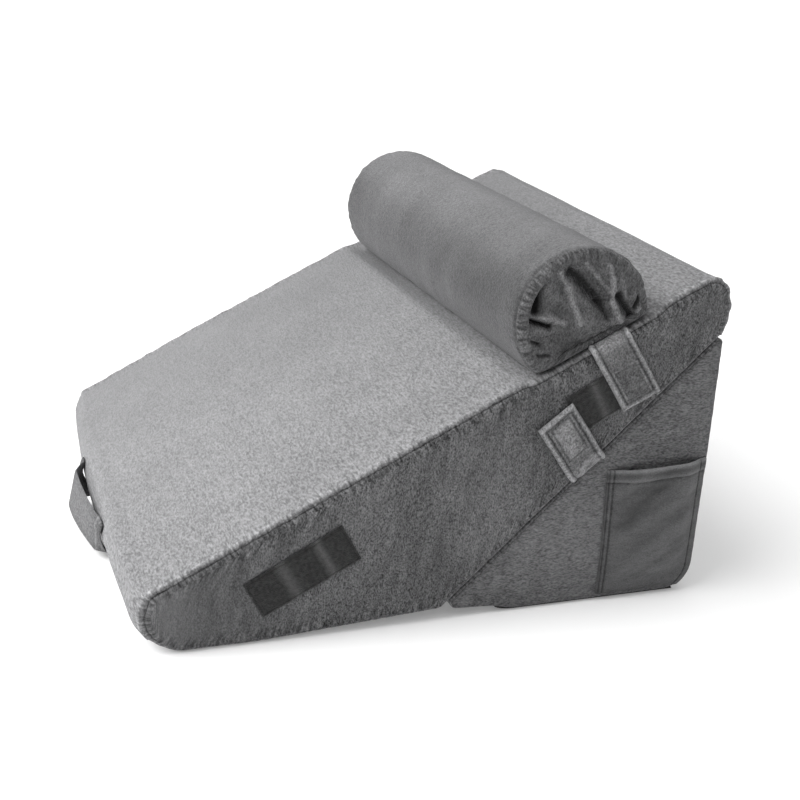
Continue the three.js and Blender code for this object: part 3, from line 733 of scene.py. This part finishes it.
def wedge_side(x, z, s_low, d_low, s_high, d_high, depth, perimeter, near):
    """Close-set folds hang from the upper seam, deepest over the front loop tape and before the base strap;
    fewer rise from the lower seam, and the cloth lies in short upright wrinkles. It is flat under what is
    sewn or pressed onto it."""
    pulled = 0.45 + 1.2 * bell(x - 112, 62) + 0.9 * bell(x - 372, 26)
    high = pleats(s_high, d_high, perimeter, 8, 2.9, 2.3, 20, 91) * pulled
    long_folds = pleats(s_high, d_high, perimeter, 30, 6, 1.4, 60, 92)
    low = pleats(s_low, d_low, perimeter, 9, 3.0, 0.9, 24, 93) * smooth(60, 200, x)
    wrinkle = soft_noise((x - z * 0.15) / 7, (z + x * 0.2) / 26, 94, 3) * (0.25 + 0.75 * smooth(15, 80, x))
    swell = 0.9 * soft_noise(x / 75, z / 55, 96, 2)
    lift = np.clip(high + long_folds + low + wrinkle + swell, -2.6, 2.0)
    for patch in covered if near else ():
        mask = patch_mask(x, z, *patch)
        lift = lift * (1 - mask) - 0.3 * mask
    return smooth(0, 5, depth) * lift


TAPE_HEIGHT, TAPE_THICK, TAPE_GAP = 44, 1.6, 0.35
TAPE_TURN = np.radians(28.4)
tape_long = np.array([np.cos(TAPE_TURN), np.sin(TAPE_TURN)])
tape_places = {"front": (154.4, 77.8, 114.5), "rear": (477.8, 241.9, 88.5)}  # middle x, z and length
ROLL_STRAP_DOWN, BASE_STRAP_UP = np.array([0.53, -0.848]), np.array([-0.57, 0.82])
covered = [
    # middle, direction of the long side, half the width, half the length
    *(((x, z), tape_long, TAPE_HEIGHT / 2, length / 2 + 0.05) for x, z, length in tape_places.values()),
    ((515, 273), ROLL_STRAP_DOWN, 25, 44),
    ((444, 178), BASE_STRAP_UP, 25, 40),
]
# The side panels are a darker grey than the top panel, as painted shade on the same plush.
plush_side = plush_material(
    "plush_side_panel",
    tone=0.12,
    stretch=(1.0, 1.0, 0.6),
    tufts=740.0,
    clumps=330.0,
    gap=0.68,
    patch=0.4,
    bump=0.8,
    sheen=0.12,
    tick=0.6,
    calm=("X", -0.27, -0.13, 0.3),
)
wedge_widths = stations_across(291, 262, 248, 13, 26)
cover_points, cover_faces, cover_seam, cover_side = foam_block(
    wedge_corners, HALF, EDGE, wedge_relief, wedge_band, wedge_side, 680, 68, wedge_widths
)
wedge_panels = [plush_top, plush_side]
long_wedge = make_piece("long_wedge_cover", cover_points, cover_faces, wedge_panels, cover_seam, cover_side)
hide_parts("long_wedge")
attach(long_wedge, "root")

# The loop tapes. Two patches of dark loop tape, sewn flat on the long wedge's side with their long edges
# along the slope. The front one lies bare; the straps' ends are pressed onto the rear one.
wedge_x, wedge_z, wedge_facing, _, _ = rounded_outline(wedge_corners, 520)
edge_out, edge_ahead = wedge_relief(wedge_x, wedge_z, wedge_facing, np.full(len(wedge_x), -HALF))
side_x = wedge_x - edge_ahead + np.cos(wedge_facing) * edge_out
side_z = wedge_z + np.sin(wedge_facing) * edge_out


def tape_material():
    """Loop tape: a dense mat of tiny curled loops, nearly black, with painted light in two upright bands."""
    material, nodes, shader, spot = new_material("loop_tape")
    place = nodes.add("ShaderNodeAttribute", attribute_name="seam").outputs["Vector"]
    share = nodes.add("ShaderNodeSeparateXYZ", {0: place}).outputs["X"]
    bands = nodes.add("ShaderNodeValToRGB", {"Fac": share})
    ramp = bands.color_ramp
    ramp.elements[1].color = ramp.elements[0].color
    # Painted light in two upright bands, on the ridges where the front tape buckles.
    left_band = ((0.28, 0.0), (0.36, 0.75), (0.44, 0.1), (0.5, 0.0))
    right_band = ((0.66, 0.0), (0.735, 0.9), (0.79, 0.05))
    for at, light in left_band + right_band:
        ramp.elements.new(at).color = (light, light, light, 1)
    loops = nodes.add("ShaderNodeTexVoronoi", {"Vector": spot, "Scale": 1100.0}).outputs["Distance"]
    fuzz = nodes.noise(spot, 260.0, 3.0)
    stitching = {"Line width": 1.0, "Line depth": 0.4, "Drawn width": 3.0, "Drawn depth": 0.1}
    seam = nodes.add("ShaderNodeGroup", stitching, node_tree=stitches).outputs["Shade"]
    dark = nodes.ranged(fuzz, 0.3, 0.7, 0.016, 0.048)
    # The tape's dark tone plus the painted light of the bands.
    tone_with_painted_light = nodes.math("MULTIPLY_ADD", bands.outputs["Color"], 0.085, dark)
    finish = {
        "Base Color": nodes.math("MULTIPLY", tone_with_painted_light, seam),
        "Normal": nodes.relief(nodes.math("MULTIPLY_ADD", loops, 900.0, fuzz), 0.5, 0.0005),
        "Roughness": 0.95,
        "Specular IOR Level": 0.15,
        "Sheen Weight": 0.15,
    }
    nodes.fill(shader, finish)
    return material


loop_tape = tape_material()
for tape_name, (tape_x, tape_z, tape_length) in tape_places.items():
    u, v = np.meshgrid(np.linspace(0, 1, 116), np.linspace(0, 1, 46))
    a, b = (u - 0.5) * tape_length, (v - 0.5) * TAPE_HEIGHT
    x = tape_x + tape_long[0] * a - tape_long[1] * b
    z = tape_z + tape_long[1] * a + tape_long[0] * b
    wall = side_reach(x, z, (side_x, side_z), HALF, EDGE)
    margin = np.minimum(tape_length / 2 - np.abs(a), TAPE_HEIGHT / 2 - np.abs(b))
    buckle = 0.5 * (bell(u - 0.36, 0.06) + bell(u - 0.74, 0.05)) * smooth(0, 6, margin)
    rise = TAPE_THICK - 0.9 * (1 - smooth(0, 1.6, margin)) - 0.35 * bell(margin - 2.6, 0.8)
    rise = rise + (buckle if tape_name == "front" else 0) + 0.1 * soft_noise(a / 6, b / 6, 101)
    outside = np.stack([x, -(wall + TAPE_GAP + rise), z], axis=-1)
    inside = np.stack([x, -(wall + TAPE_GAP), z], axis=-1)
    tape_seam = both_faces(u, margin - 2.6, 0.0)
    tape = make_piece(f"loop_tape_{tape_name}_patch", *two_faced(outside, inside), [loop_tape], tape_seam)
    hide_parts(f"loop_tape_{tape_name}")
    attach(tape, "root")

# The carrying handle. A flat band of plush, sewn to the nose at both ends and bowed out between them. It is
# cut wide and gathered into upright folds where it is sewn down at the near end.
HANDLE_HALF, HANDLE_SEWN, HANDLE_LOW, HANDLE_HIGH, HANDLE_PLANE = 101, 9, 10, 55, -17
HANDLE_BOW_LOW, HANDLE_BOW_HIGH, HANDLE_LEAN, HANDLE_THICK, HANDLE_ROOM = 21, 11, 50, 3, 1.8


def nose_front(y, z):
    """Least depth of the long wedge's outline at a width and a height: the outline of the nose, pushed out by
    its bulge at that width."""
    ahead = wedge_x < 40
    order = np.argsort(wedge_z[ahead])
    heights, depths, facing = wedge_z[ahead][order], wedge_x[ahead][order], wedge_facing[ahead][order]
    x = np.interp(z, heights, depths)
    turn = np.interp(z, heights, np.mod(facing, 2 * np.pi))
    return x - wedge_relief(x, z, turn, y)[1]


def handle_bow(y):
    """How far out the handle bows, 0 to 1: 1 - t^1.7 towards the near end and smoothstep to the far one."""
    free = HANDLE_HALF - HANDLE_SEWN
    off = y - HANDLE_LEAN
    span = np.where(off < 0, free + HANDLE_LEAN, free - HANDLE_LEAN)
    left = np.clip(np.abs(off) / span, 0, 1)
    return np.where(off < 0, 1 - left**1.7, smooth(0, 0.8, 1 - left))


u, v = np.meshgrid(np.linspace(0, 1, 200), np.linspace(0, 1, 44))
y, z = HANDLE_HALF * (1 - 2 * u), HANDLE_LOW + (HANDLE_HIGH - HANDLE_LOW) * v
bow = handle_bow(y)
free_x = HANDLE_PLANE - bow * (HANDLE_BOW_LOW + (HANDLE_BOW_HIGH - HANDLE_BOW_LOW) * v)
sewn_x = nose_front(y, z) - HANDLE_ROOM
x = np.minimum(sewn_x, sewn_x + (free_x - sewn_x) * smooth(0, 0.3, bow))
root = smooth(-40, -88, y)
gathers = bell(y + 72 + 5 * v, 3.2) + bell(y + 83 - 3 * v, 3.0) + bell(y + 92, 2.6) - 0.5
folds = root * 2.2 * gathers
edge_off = np.minimum(v, 1 - v) * (HANDLE_HIGH - HANDLE_LOW)
end_off = np.minimum(u, 1 - u) * 2 * HANDLE_HALF
rounded = np.minimum(1.3 * (1 - smooth(0, 2.4, edge_off)) + 1.3 * (1 - smooth(0, 2.4, end_off)), 1.4)
soft = 0.2 * soft_noise(y / 18, z / 16, 111, 2)
outside = np.stack([x - HANDLE_THICK + rounded - folds * smooth(0, 6, edge_off) - soft, y, z], axis=-1)
inside = np.stack([x - rounded * smooth(0.05, 0.3, bow), y, z], axis=-1)
handle_points, handle_faces = two_faced(outside, inside)
hem_off = np.minimum(np.abs(edge_off - 5.0), np.abs(HANDLE_HALF - np.abs(y) - 7.0))
# Painted light and shade: the gathers' ridges lighter and their hollows darker. The band is also darker
# towards its far end.
handle_seam = both_faces(y, hem_off, np.clip(0.3 * folds - 0.25 * smooth(30, 80, y), -0.4, 0.4))
plush_band = plush_material(
    "plush_band",
    tone=0.122,
    stretch=(1.0, 0.5, 1.0),
    tufts=480.0,
    clumps=200.0,
    gap=0.4,
    bump=0.8,
    sheen=0.15,
    line=0.1,
    tick=0.0,
)
carry_handle = make_piece("carry_handle_band", handle_points, handle_faces, [plush_band], handle_seam)
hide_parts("carry_handle")
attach(carry_handle, "root")

# The head roll. A firm foam roll with a flat underside in a plush cover: one panel round the barrel, and at
# each end a gathered panel sewn in, slack enough to lie in uneven folds.
ROLL_FLAT = ROLL_CENTRE + ROLL_SUNK
roll_folds = (
    # up the slope and off it from the axis, at both ends of the fold; width; how far it stands out
    (-6, 64, -4, 40, 2.6, 2.6),
    (-4, 40, -7, 0, 3.2, 3.0),
    (4, 54, 18, 12, 5.5, -4.5),
    (18, 12, 21, -8, 4, -2.5),
    (46, 50, 42, 25, 2.6, 2.2),
    (42, 25, 33, 2, 2.8, 3.0),
    (33, 2, 33, -26, 3.2, 3.0),
    (40, 6, 45, -20, 4.5, -4.5),
    (-33, 54, -45, 36, 7, -3.2),
    (-54, 30, -38, 14, 2.6, -4.5),
    (-52, 34, -22, 8, 3.0, 2.4),
    (-65, 11, -54, 2, 2.4, -2.2),
    (-68, -6, -50, -14, 2.6, -2.2),
    (22, 54, 28, 37, 2.4, 2.0),
    (28, 37, 35, 14, 2.2, 1.6),
    (72, -6, 53, -21, 2.4, 2.2),
    (66, -4, 53, -14, 3.0, -3.0),
    (51, 18, 48, 2, 2.2, 1.5),
    (-30, -18, 20, -30, 9, -1.2),
)


def roll_section(angle, radius, flat, corner=16):
    """Distance from the axis to the section's outline: the smaller of the radius and the flat's distance at
    that angle, less soft^2 corner / 4 where the two are within the corner's size of each other."""
    to_flat = flat / np.maximum(-np.sin(angle), 1e-6)
    blend = np.maximum(corner - np.abs(to_flat - radius), 0) / corner
    return np.minimum(radius, to_flat) - blend**2 * corner / 4


def fold_relief(a, b, sign):
    """Sum of the folds: each 1.3 h exp(-(off / w)^2), off being the distance to the line between its two
    ends. They are turned over for the end that faces the other way."""
    total = np.zeros(a.shape)
    for x0, z0, x1, z1, width, height in roll_folds:
        x0, x1 = -sign * x0, -sign * x1
        run = np.array([x1 - x0, z1 - z0])
        t = np.clip(((a - x0) * run[0] + (b - z0) * run[1]) / (run @ run), 0, 1)
        total += 1.3 * height * bell(np.hypot(a - x0 - t * run[0], b - z0 - t * run[1]), width)
    return total


def slacken(points, quads, held, frames=20, growth=0.035, pressure=0.8, most=4.0):
    """Cloth simulation of one sewn-in panel, points in millimetres: it is cut larger than its opening by the
    growth, its held points stay, and light pressure fills it. Gives how far each point moves, which is
    never more than most."""
    mesh = bpy.data.meshes.new("panel")
    mesh.from_pydata((points * MM).tolist(), [], quads.tolist())
    panel = bpy.data.objects.new("panel", mesh)
    bpy.context.collection.objects.link(panel)
    pins = panel.vertex_groups.new(name="sewn")
    pins.add(held.tolist(), 1.0, "REPLACE")
    cloth = panel.modifiers.new("cloth", "CLOTH")
    cloth.settings.vertex_group_mass = "sewn"
    cloth.settings.quality = 6
    cloth.settings.shrink_min = -growth
    cloth.settings.use_pressure = True
    cloth.settings.uniform_pressure_force = pressure
    cloth.settings.effector_weights.gravity = 0
    cloth.settings.bending_stiffness = 0.15
    cloth.settings.air_damping = 4
    cloth.collision_settings.use_collision = False
    cloth.point_cache.frame_start, cloth.point_cache.frame_end = 1, frames
    for frame_number in range(1, frames + 1):
        bpy.context.scene.frame_set(frame_number)
    graph = bpy.context.evaluated_depsgraph_get()
    result = panel.evaluated_get(graph).to_mesh()
    moved = np.empty(len(points) * 3)
    result.vertices.foreach_get("co", moved)
    bpy.context.scene.frame_set(1)
    bpy.data.objects.remove(panel)
    bpy.data.meshes.remove(mesh)
    shift = moved.reshape(-1, 3) / MM - points
    size = np.linalg.norm(shift, axis=1, keepdims=True)
    return shift * np.minimum(1, most / np.maximum(size, 1e-6))


def settled(rim, disc, sign):
    """An end panel after the cloth simulation. Every second point of it settles between the rim and the hub,
    and the points between them move as their neighbours do on average."""
    coarse = np.concatenate([rim[None], disc])[::2, ::2]
    grid = np.arange(coarse.shape[0] * coarse.shape[1]).reshape(coarse.shape[:2])
    turned = np.roll(grid, -1, axis=1)
    quads = np.stack([grid[:-1], grid[1:], turned[1:], turned[:-1]], axis=-1).reshape(-1, 4)
    if sign > 0:
        quads = quads[:, ::-1]
    held = np.concatenate([grid[0], grid[-1]])
    moves = slacken(coarse.reshape(-1, 3), quads, held).reshape(coarse.shape)
    moves = np.stack([moves, (moves + np.roll(moves, -1, axis=1)) / 2], axis=2).reshape(len(moves), -1, 3)
    between = (moves[:-1] + moves[1:]) / 2
    full = np.stack([moves[:-1], between], axis=1).reshape(-1, *moves.shape[1:])
    return disc + np.concatenate([full, moves[-1:], moves[-1:]])[1 : len(disc) + 1]


SIDES, END_RINGS, ROLL_GIRTH = 288, 44, 66
ROLL_SEAM = np.radians(24)
ROUND = 2 * np.pi * ROLL_GIRTH
angle = (np.arange(SIDES) + 0.5) / SIDES * 2 * np.pi
rim_turn = np.linspace(0, np.pi / 2, 13)
rim_y, rim_in = ROLL_RIM * (1 - np.sin(rim_turn)), ROLL_RIM * (1 - np.cos(rim_turn))
end_steps = np.linspace(ROLL_RIM + 1.5, 40, 12)
middle_y = np.linspace(ROLL_NEAR + 47, ROLL_FAR - 47, 60)
barrel_y = np.concatenate([ROLL_NEAR + end_steps, middle_y, ROLL_FAR - end_steps[::-1]])
ring_y = np.concatenate([ROLL_NEAR + rim_y[::-1], barrel_y, ROLL_FAR - rim_y])
ring_in = np.concatenate([rim_in[::-1], 0 * barrel_y, rim_in])
ring_turn = np.concatenate([rim_turn[::-1], 0 * barrel_y, rim_turn])
ring_sign = np.concatenate([-np.ones(13), 0 * barrel_y, np.ones(13)])
from_rim = np.maximum(np.minimum(ring_y - ROLL_NEAR, ROLL_FAR - ring_y) - ROLL_RIM, 0)
ring_d = ROLL_RIM * (ring_turn - ROLL_SEAM) - from_rim
gs, gd = np.meshgrid(angle * ROLL_GIRTH, ring_d)
ga = np.broadcast_to(angle[None], gs.shape)
gy = np.broadcast_to(ring_y[:, None], gs.shape)
resting = smooth(-0.35, -0.5, np.sin(ga))
groove = -0.7 * bell(gd, 1.6)
off = np.abs(gd)
small = pleats(gs, off, ROUND, 7, 2.6, 1.3, 9, 121) + pleats(gs, off, ROUND, 20, 6, 0.9, 40, 122)
slack = 0.7 * soft_noise(gs / 60, gy / 38, 123, 3) * smooth(0, -20, gd)
roll_lift = groove + (small * smooth(0, 3, off) + slack) * (1 - resting)
reach = roll_section(ga, ROLL_RADIUS - ring_in[:, None], ROLL_FLAT - ring_in[:, None])
reach = reach + roll_lift * np.cos(ring_turn)[:, None]


def roll_place(a, b, y, out=0):
    """Points of the roll from their place up the slope and off it from the axis, at a width."""
    axis = np.array([0, NOSE_TOP]) + roll_along(y)[..., None] * SLOPE + ROLL_CENTRE * LIFT
    spot = axis + a[..., None] * SLOPE + b[..., None] * LIFT
    return np.stack([spot[..., 0], y + out, spot[..., 1]], axis=-1)


aside = ring_sign[:, None] * np.sin(ring_turn)[:, None] * roll_lift
barrel = roll_place(reach * np.cos(ga), reach * np.sin(ga), gy, aside)
index = np.arange(barrel.shape[0] * SIDES).reshape(-1, SIDES)
after = np.roll(index, -1, axis=1)
around = np.degrees(ga)
# Painted light and shade on the barrel: lighter and darker by its angle round the axis, lightest on top, and
# lighter towards the far end; its folds lit and shaded; the rim past the seam darker, most where it rests.
tone_with_painted_light = 0.22 * smooth(-260, 120, gy) + 0.44 * smooth(0.4, 0.98, np.sin(ga)) - 0.44
tone_with_painted_light = tone_with_painted_light + 0.16 * smooth(150, 190, around)
tone_with_painted_light = tone_with_painted_light + 0.3 * bell(around - 62, 18) - 0.33 * bell(around - 126, 21)
barrel_painted_light = np.where(gd > 0, -0.14 - 0.3 * resting, tone_with_painted_light + 0.1 * np.clip(roll_lift, -2, 2))
roll_points, roll_seam = [barrel.reshape(-1, 3)], [seam_values(gs, gd, barrel_painted_light)]
roll_quads = [np.stack([index[:-1], after[:-1], after[1:], index[1:]], axis=-1).reshape(-1, 4)]
roll_triangles, roll_side = [], [np.repeat((ring_d[:-1] > -0.3) & (ring_d[1:] > -0.3), SIDES)]
total = index.size
HUB_ALONG, HUB_OFF, HUB_DEPTH = np.array([6.0]), np.array([-12.0]), 55
for sign, end, ring in ((-1, ROLL_NEAR, 0), (1, ROLL_FAR, len(ring_y) - 1)):
    share = ((1 - np.arange(1, END_RINGS) / END_RINGS) ** 0.85)[:, None]
    rim_reach = roll_section(angle, ROLL_RADIUS - ROLL_RIM, ROLL_FLAT - ROLL_RIM)
    a = HUB_ALONG + (rim_reach * np.cos(angle) - HUB_ALONG) * share
    b = HUB_OFF + (rim_reach * np.sin(angle) - HUB_OFF) * share
    inward = (1 - share) * HUB_DEPTH + 0 * a
    ss = np.broadcast_to(angle[None] * ROLL_GIRTH, a.shape)
    fine = pleats(ss, inward, ROUND, 8, 3.2, 1.3, 14, 131) + pleats(ss, inward, ROUND, 21, 6, 1.2, 30, 132)
    crumple = 0.8 * soft_noise(a / 13 + b / 40, b / 22, 133, 3)
    folded = fold_relief(a, b, sign) + fine * smooth(0, 5, inward) + crumple * smooth(0, 14, inward)
    # Painted light and shade on the end panel: the folds' ridges lighter and their valleys darker, the whole
    # panel darker, and a darker patch in its upper part.
    disc_painted_light = np.clip(np.where(folded > 0, 0.32, 0.22) * folded, -0.7, 1.1) - 0.14
    disc_painted_light = disc_painted_light - 0.35 * bell(-sign * a + 48, 16) * bell(b - 38, 20)
    disc = roll_place(a, b, np.full(a.shape, float(end)), sign * (ROLL_FILL * (1 - share) + folded))
    disc = settled(barrel[ring], disc, sign)
    hub_face = ROLL_FILL + fold_relief(HUB_ALONG, HUB_OFF, sign)
    hub = roll_place(HUB_ALONG, HUB_OFF, np.array([float(end)]), sign * hub_face)
    rings = np.concatenate([index[ring][None], total + np.arange(disc.shape[0] * SIDES).reshape(-1, SIDES)])
    centre = total + disc.shape[0] * SIDES
    total = centre + 1
    after = np.roll(rings, -1, axis=1)
    quads = np.stack([rings[:-1], rings[1:], after[1:], after[:-1]], axis=-1).reshape(-1, 4)
    fan = np.stack([rings[-1], np.full(SIDES, centre), after[-1]], axis=-1)
    if sign > 0:
        quads, fan = quads[:, ::-1], fan[:, ::-1]
    roll_points += [disc.reshape(-1, 3), hub]
    depth = ROLL_RIM * (np.pi / 2 - ROLL_SEAM) + inward
    roll_seam += [seam_values(ss, depth, disc_painted_light), np.array([[0.0, 60.0, 0.0]])]
    roll_quads.append(quads)
    roll_triangles.append(fan)
    roll_side.append(np.ones(len(quads), bool))
roll_side.append(np.ones(2 * SIDES, bool))
plush_roll = plush_material(
    "plush_roll_barrel",
    tone=0.125,
    stretch=(1.0, 0.7, 1.0),
    tufts=620.0,
    clumps=260.0,
    gap=0.36,
    patch=0.22,
    bump=0.6,
    sheen=0.25,
    line=0.0,
    tick=0.12,
)
# The roll's end panels are the darkest grey, as painted shade on the same plush.
plush_end = plush_material(
    "plush_roll_end",
    tone=0.105,
    stretch=(1.0, 1.0, 0.7),
    tufts=600.0,
    clumps=260.0,
    gap=0.5,
    patch=0.3,
    bump=0.8,
    sheen=0.3,
    line=0.0,
    tick=0.55,
)
head_roll = make_piece(
    "head_roll_cover",
    np.concatenate(roll_points),
    [np.concatenate(roll_quads), np.concatenate(roll_triangles)],
    [plush_roll, plush_end],
    np.concatenate(roll_seam),
    np.concatenate(roll_side),
)
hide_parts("head_roll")
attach(head_roll, "root")

# The two strap ends. Each is plush folded to a rolled hem all round and sewn in a square, and its back grips
# the loop tape. The roll's comes out from under its rim and round the wedge's edge; the base's rises from the
# groove between the wedges.
STRAP_WIDTH, STRAP_THICK, STRAP_HEM, STRAP_RISE, STRAP_STAND = 46, 2.6, 6.5, 1.3, 2.3
strap_plush = plush_material(
    "plush_strap",
    tone=0.175,
    stretch=(1.0, 1.0, 0.8),
    tufts=560.0,
    clumps=220.0,
    gap=0.5,
    bump=0.7,
    sheen=0.2,
    line=0.15,
    tick=0.1,
)


def dents(a, b, places):
    """Sum of hollows, each depth exp(-(up / long)^2 - (aside / wide)^2) and slanting as it goes up."""
    total = np.zeros(a.shape)
    for at, beside, wide, long, depth in places:
        total += depth * bell(b - at, long) * bell(a - beside - (b - at) * 0.35, wide)
    return total


def sew_strap(name, node, place, facing, wide, run, square_from, hollows, lighter):
    """A strap of points and normals along its middle line, carried sideways along wide. The hem is a half
    round, with a stitched groove inside it and a square sewn through the middle. Each hollow is a place up
    the strap and beside its middle, a width, a length and a depth; lighter is the tone within the square."""
    total = run[-1]
    across = np.linspace(-0.5, 0.5, 66) * STRAP_WIDTH
    a, b = np.broadcast_arrays(across[None], run[:, None])
    off_side, off_end = STRAP_WIDTH / 2 - np.abs(a), total - b
    margin = np.minimum(off_side, off_end)
    hem = np.clip(margin / STRAP_HEM, 0, 1)
    inside_hem = margin - STRAP_HEM
    rise = STRAP_THICK + STRAP_RISE
    outer_half = rise * np.sqrt(np.clip(1 - (1 - 2 * np.minimum(hem, 0.5)) ** 2, 0, 1))
    profile = np.where(hem < 0.5, outer_half, rise - 0.8 * smooth(0.5, 1, hem))
    profile = np.where(inside_hem < 0, profile, STRAP_THICK)
    profile = np.where(inside_hem > 0, STRAP_THICK - 0.7 * bell(inside_hem, 1.2) + 0.2, profile)
    from_square = np.minimum(np.minimum(off_side - 11, off_end - 9), b - square_from)
    body = smooth(0, 4, inside_hem)
    profile = profile + (0.45 * smooth(0, 2.5, from_square) - 0.7 * bell(from_square, 0.9)) * body
    profile = profile + body * 0.35 * soft_noise(a / 9, b / 11, 141, 2)
    profile = profile + 0.25 * soft_noise(a / 5, b / 8, 143, 2) * smooth(0, 2, margin)
    profile = np.maximum(profile - body * dents(a, b, hollows), 0.35)
    spots = place[:, None] + wide[None, None] * across[None, :, None]
    points, faces = two_faced(spots + facing[:, None] * profile[..., None], spots)
    # Painted light and shade: the rolled hem, the square's edge and the fold at the top lighter, the groove
    # inside the hem and the hollows darker. The soft noise is the cloth's own uneven tone, and lighter sets
    # the tone within the square.
    tone = 0.65 * bell(margin - 2.6, 1.7) - 0.45 * bell(inside_hem, 1.2) - 0.1 * smooth(3, 7, margin)
    tone = tone + (lighter - 0.2) * smooth(0, 3, from_square) + 0.35 * bell(from_square + 2.0, 1.0)
    tone = tone + 0.5 * (1 - smooth(8, 17, b)) + 0.12 * soft_noise(a / 7, b / 12, 145, 2)
    tone = tone - 0.3 * dents(a, b, hollows)
    seam = both_faces(b, np.minimum(np.abs(inside_hem), np.abs(from_square)), tone)
    strap = make_piece(name, points, faces, [strap_plush], seam)
    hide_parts(node)
    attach(strap, "root")


EDGE_TURN = EDGE + STRAP_STAND
ROLL_LEAD, ROLL_STRAP_RUN, ROLL_STRAP_START = 0.35, 68, 528
arc = EDGE_TURN * (np.pi / 2 - ROLL_LEAD)
run = np.linspace(0, arc + ROLL_STRAP_RUN, 110)
corner = np.array([0, NOSE_TOP]) + ROLL_STRAP_START * SLOPE - (DIP_DEPTH + EDGE) * LIFT
turn = ROLL_LEAD + np.minimum(run, arc) / EDGE_TURN
down = np.maximum(run - arc, 0)
spot = corner + EDGE_TURN * np.cos(turn)[:, None] * LIFT + down[:, None] * ROLL_STRAP_DOWN
out = HALF - EDGE + EDGE_TURN * np.sin(turn) + SIDE_FILL * smooth(0, 40, down)
place = np.stack([spot[:, 0], -out, spot[:, 1]], axis=-1)
facing = np.stack([LIFT[0] * np.cos(turn), -np.sin(turn), LIFT[1] * np.cos(turn)], axis=-1)
wide = np.array([-SLOPE[0], 0, -SLOPE[1]])
roll_hollows = ((26, -6, 9, 7, 0.7),)
sew_strap("roll_strap_end", "roll_strap", place, facing, wide, run, 38, roll_hollows, 0.0)

BASE_TUCK, BASE_STRAP_RUN, BASE_STRAP_FOOT = np.radians(50), 69, 462.5
arc = EDGE_TURN * BASE_TUCK
run = np.linspace(0, arc + BASE_STRAP_RUN, 110)
join = np.array([1, JOIN_RISE]) / np.hypot(1, JOIN_RISE)
square = np.array([join[1], -join[0]])
foot = np.array([BASE_STRAP_FOOT, join_height(BASE_STRAP_FOOT)]) - EDGE * square
turn = BASE_TUCK * (1 - np.minimum(run, arc) / arc)
rising = np.maximum(run - arc, 0)
spot = foot + EDGE_TURN * np.sin(turn)[:, None] * square + rising[:, None] * BASE_STRAP_UP
out = HALF - EDGE + EDGE_TURN * np.cos(turn) + SIDE_FILL * smooth(0, 34, rising)
place = np.stack([spot[:, 0], -out, spot[:, 1]], axis=-1)
facing = np.stack([square[0] * np.sin(turn), -np.cos(turn), square[1] * np.sin(turn)], axis=-1)
wide = np.array([0.79, 0, 0.613])
base_hollows = ((34, 8, 5, 9, 1.3), (46, 2, 12, 3, 0.5))
sew_strap("base_strap_end", "base_strap", place, facing, wide, run, 26, base_hollows, 0.75)

# The studio. A pale floor that glows a little, a broad soft light from the nose's side with a smaller lamp
# on the nose itself, an even light from above and a faint surround.
floor_mesh = bpy.data.meshes.new("studio_floor")
floor_mesh.from_pydata([(-20, -20, 0), (20, -20, 0), (20, 20, 0), (-20, 20, 0)], [], [(0, 1, 2, 3)])
floor = bpy.data.objects.new("studio_floor", floor_mesh)
bpy.context.collection.objects.link(floor)
floor_finish, nodes, shader, _ = new_material("studio_floor")
white = (1, 1, 1, 1)
pale = {"Base Color": (0.8, 0.8, 0.8, 1), "Roughness": 1.0, "Emission Color": white, "Emission Strength": 0.2}
nodes.fill(shader, pale)
floor_mesh.materials.append(floor_finish)


def hang_lamp(name, kind, towards, strength, place=(0, 0, 0)):
    """A lamp whose light comes from the direction towards. Gives its settings."""
    lamp = bpy.data.lights.new(name, kind)
    lamp.energy = strength
    light = bpy.data.objects.new(name, lamp)
    light.location = place
    light.rotation_mode = "QUATERNION"
    light.rotation_quaternion = Vector(towards).to_track_quat("Z", "Y")
    bpy.context.collection.objects.link(light)
    return lamp


hang_lamp("key", "SUN", (-0.6, 0.05, 0.8), 2.4).angle = np.radians(50)
hang_lamp("near_lamp", "AREA", (-1.0, 0.0, 0.45), 8.0, (-1.15, -0.05, 0.62)).size = 0.7
hang_lamp("top", "SUN", (0.0, 0.0, 1.0), 1.9).angle = np.radians(110)
world = bpy.data.worlds.new("studio")
world.use_nodes = True
surround = NodeTree(world.node_tree)
surround.fill(world.node_tree.nodes["Background"], {"Color": white, "Strength": 0.06})
bpy.context.scene.world = world
bpy.context.scene.view_settings.view_transform = "Standard"

CAMERA_TURN, CAMERA_TILT, CAMERA_ROLL = np.radians([-19.1, 19.9, 2.4])
CAMERA_PLACE = (-0.4573, -1.5153, 0.7191)
level = np.array([-np.sin(CAMERA_TURN), np.cos(CAMERA_TURN), 0])
ahead = level * np.cos(CAMERA_TILT) - np.array([0, 0, np.sin(CAMERA_TILT)])
right = np.cross(ahead, [0, 0, 1])
right /= np.linalg.norm(right)
up = np.cross(right, ahead)
spin, lift = np.cos(CAMERA_ROLL), np.sin(CAMERA_ROLL)
right, up = right * spin + up * lift, up * spin - right * lift
lens = bpy.data.cameras.new("camera")
lens.sensor_width, lens.lens = 36, 63.05
camera = bpy.data.objects.new("camera", lens)
rows = np.column_stack([right, up, -ahead, CAMERA_PLACE]).tolist()
camera.matrix_world = Matrix(rows + [[0, 0, 0, 1]])
bpy.context.collection.objects.link(camera)
bpy.context.scene.camera = camera
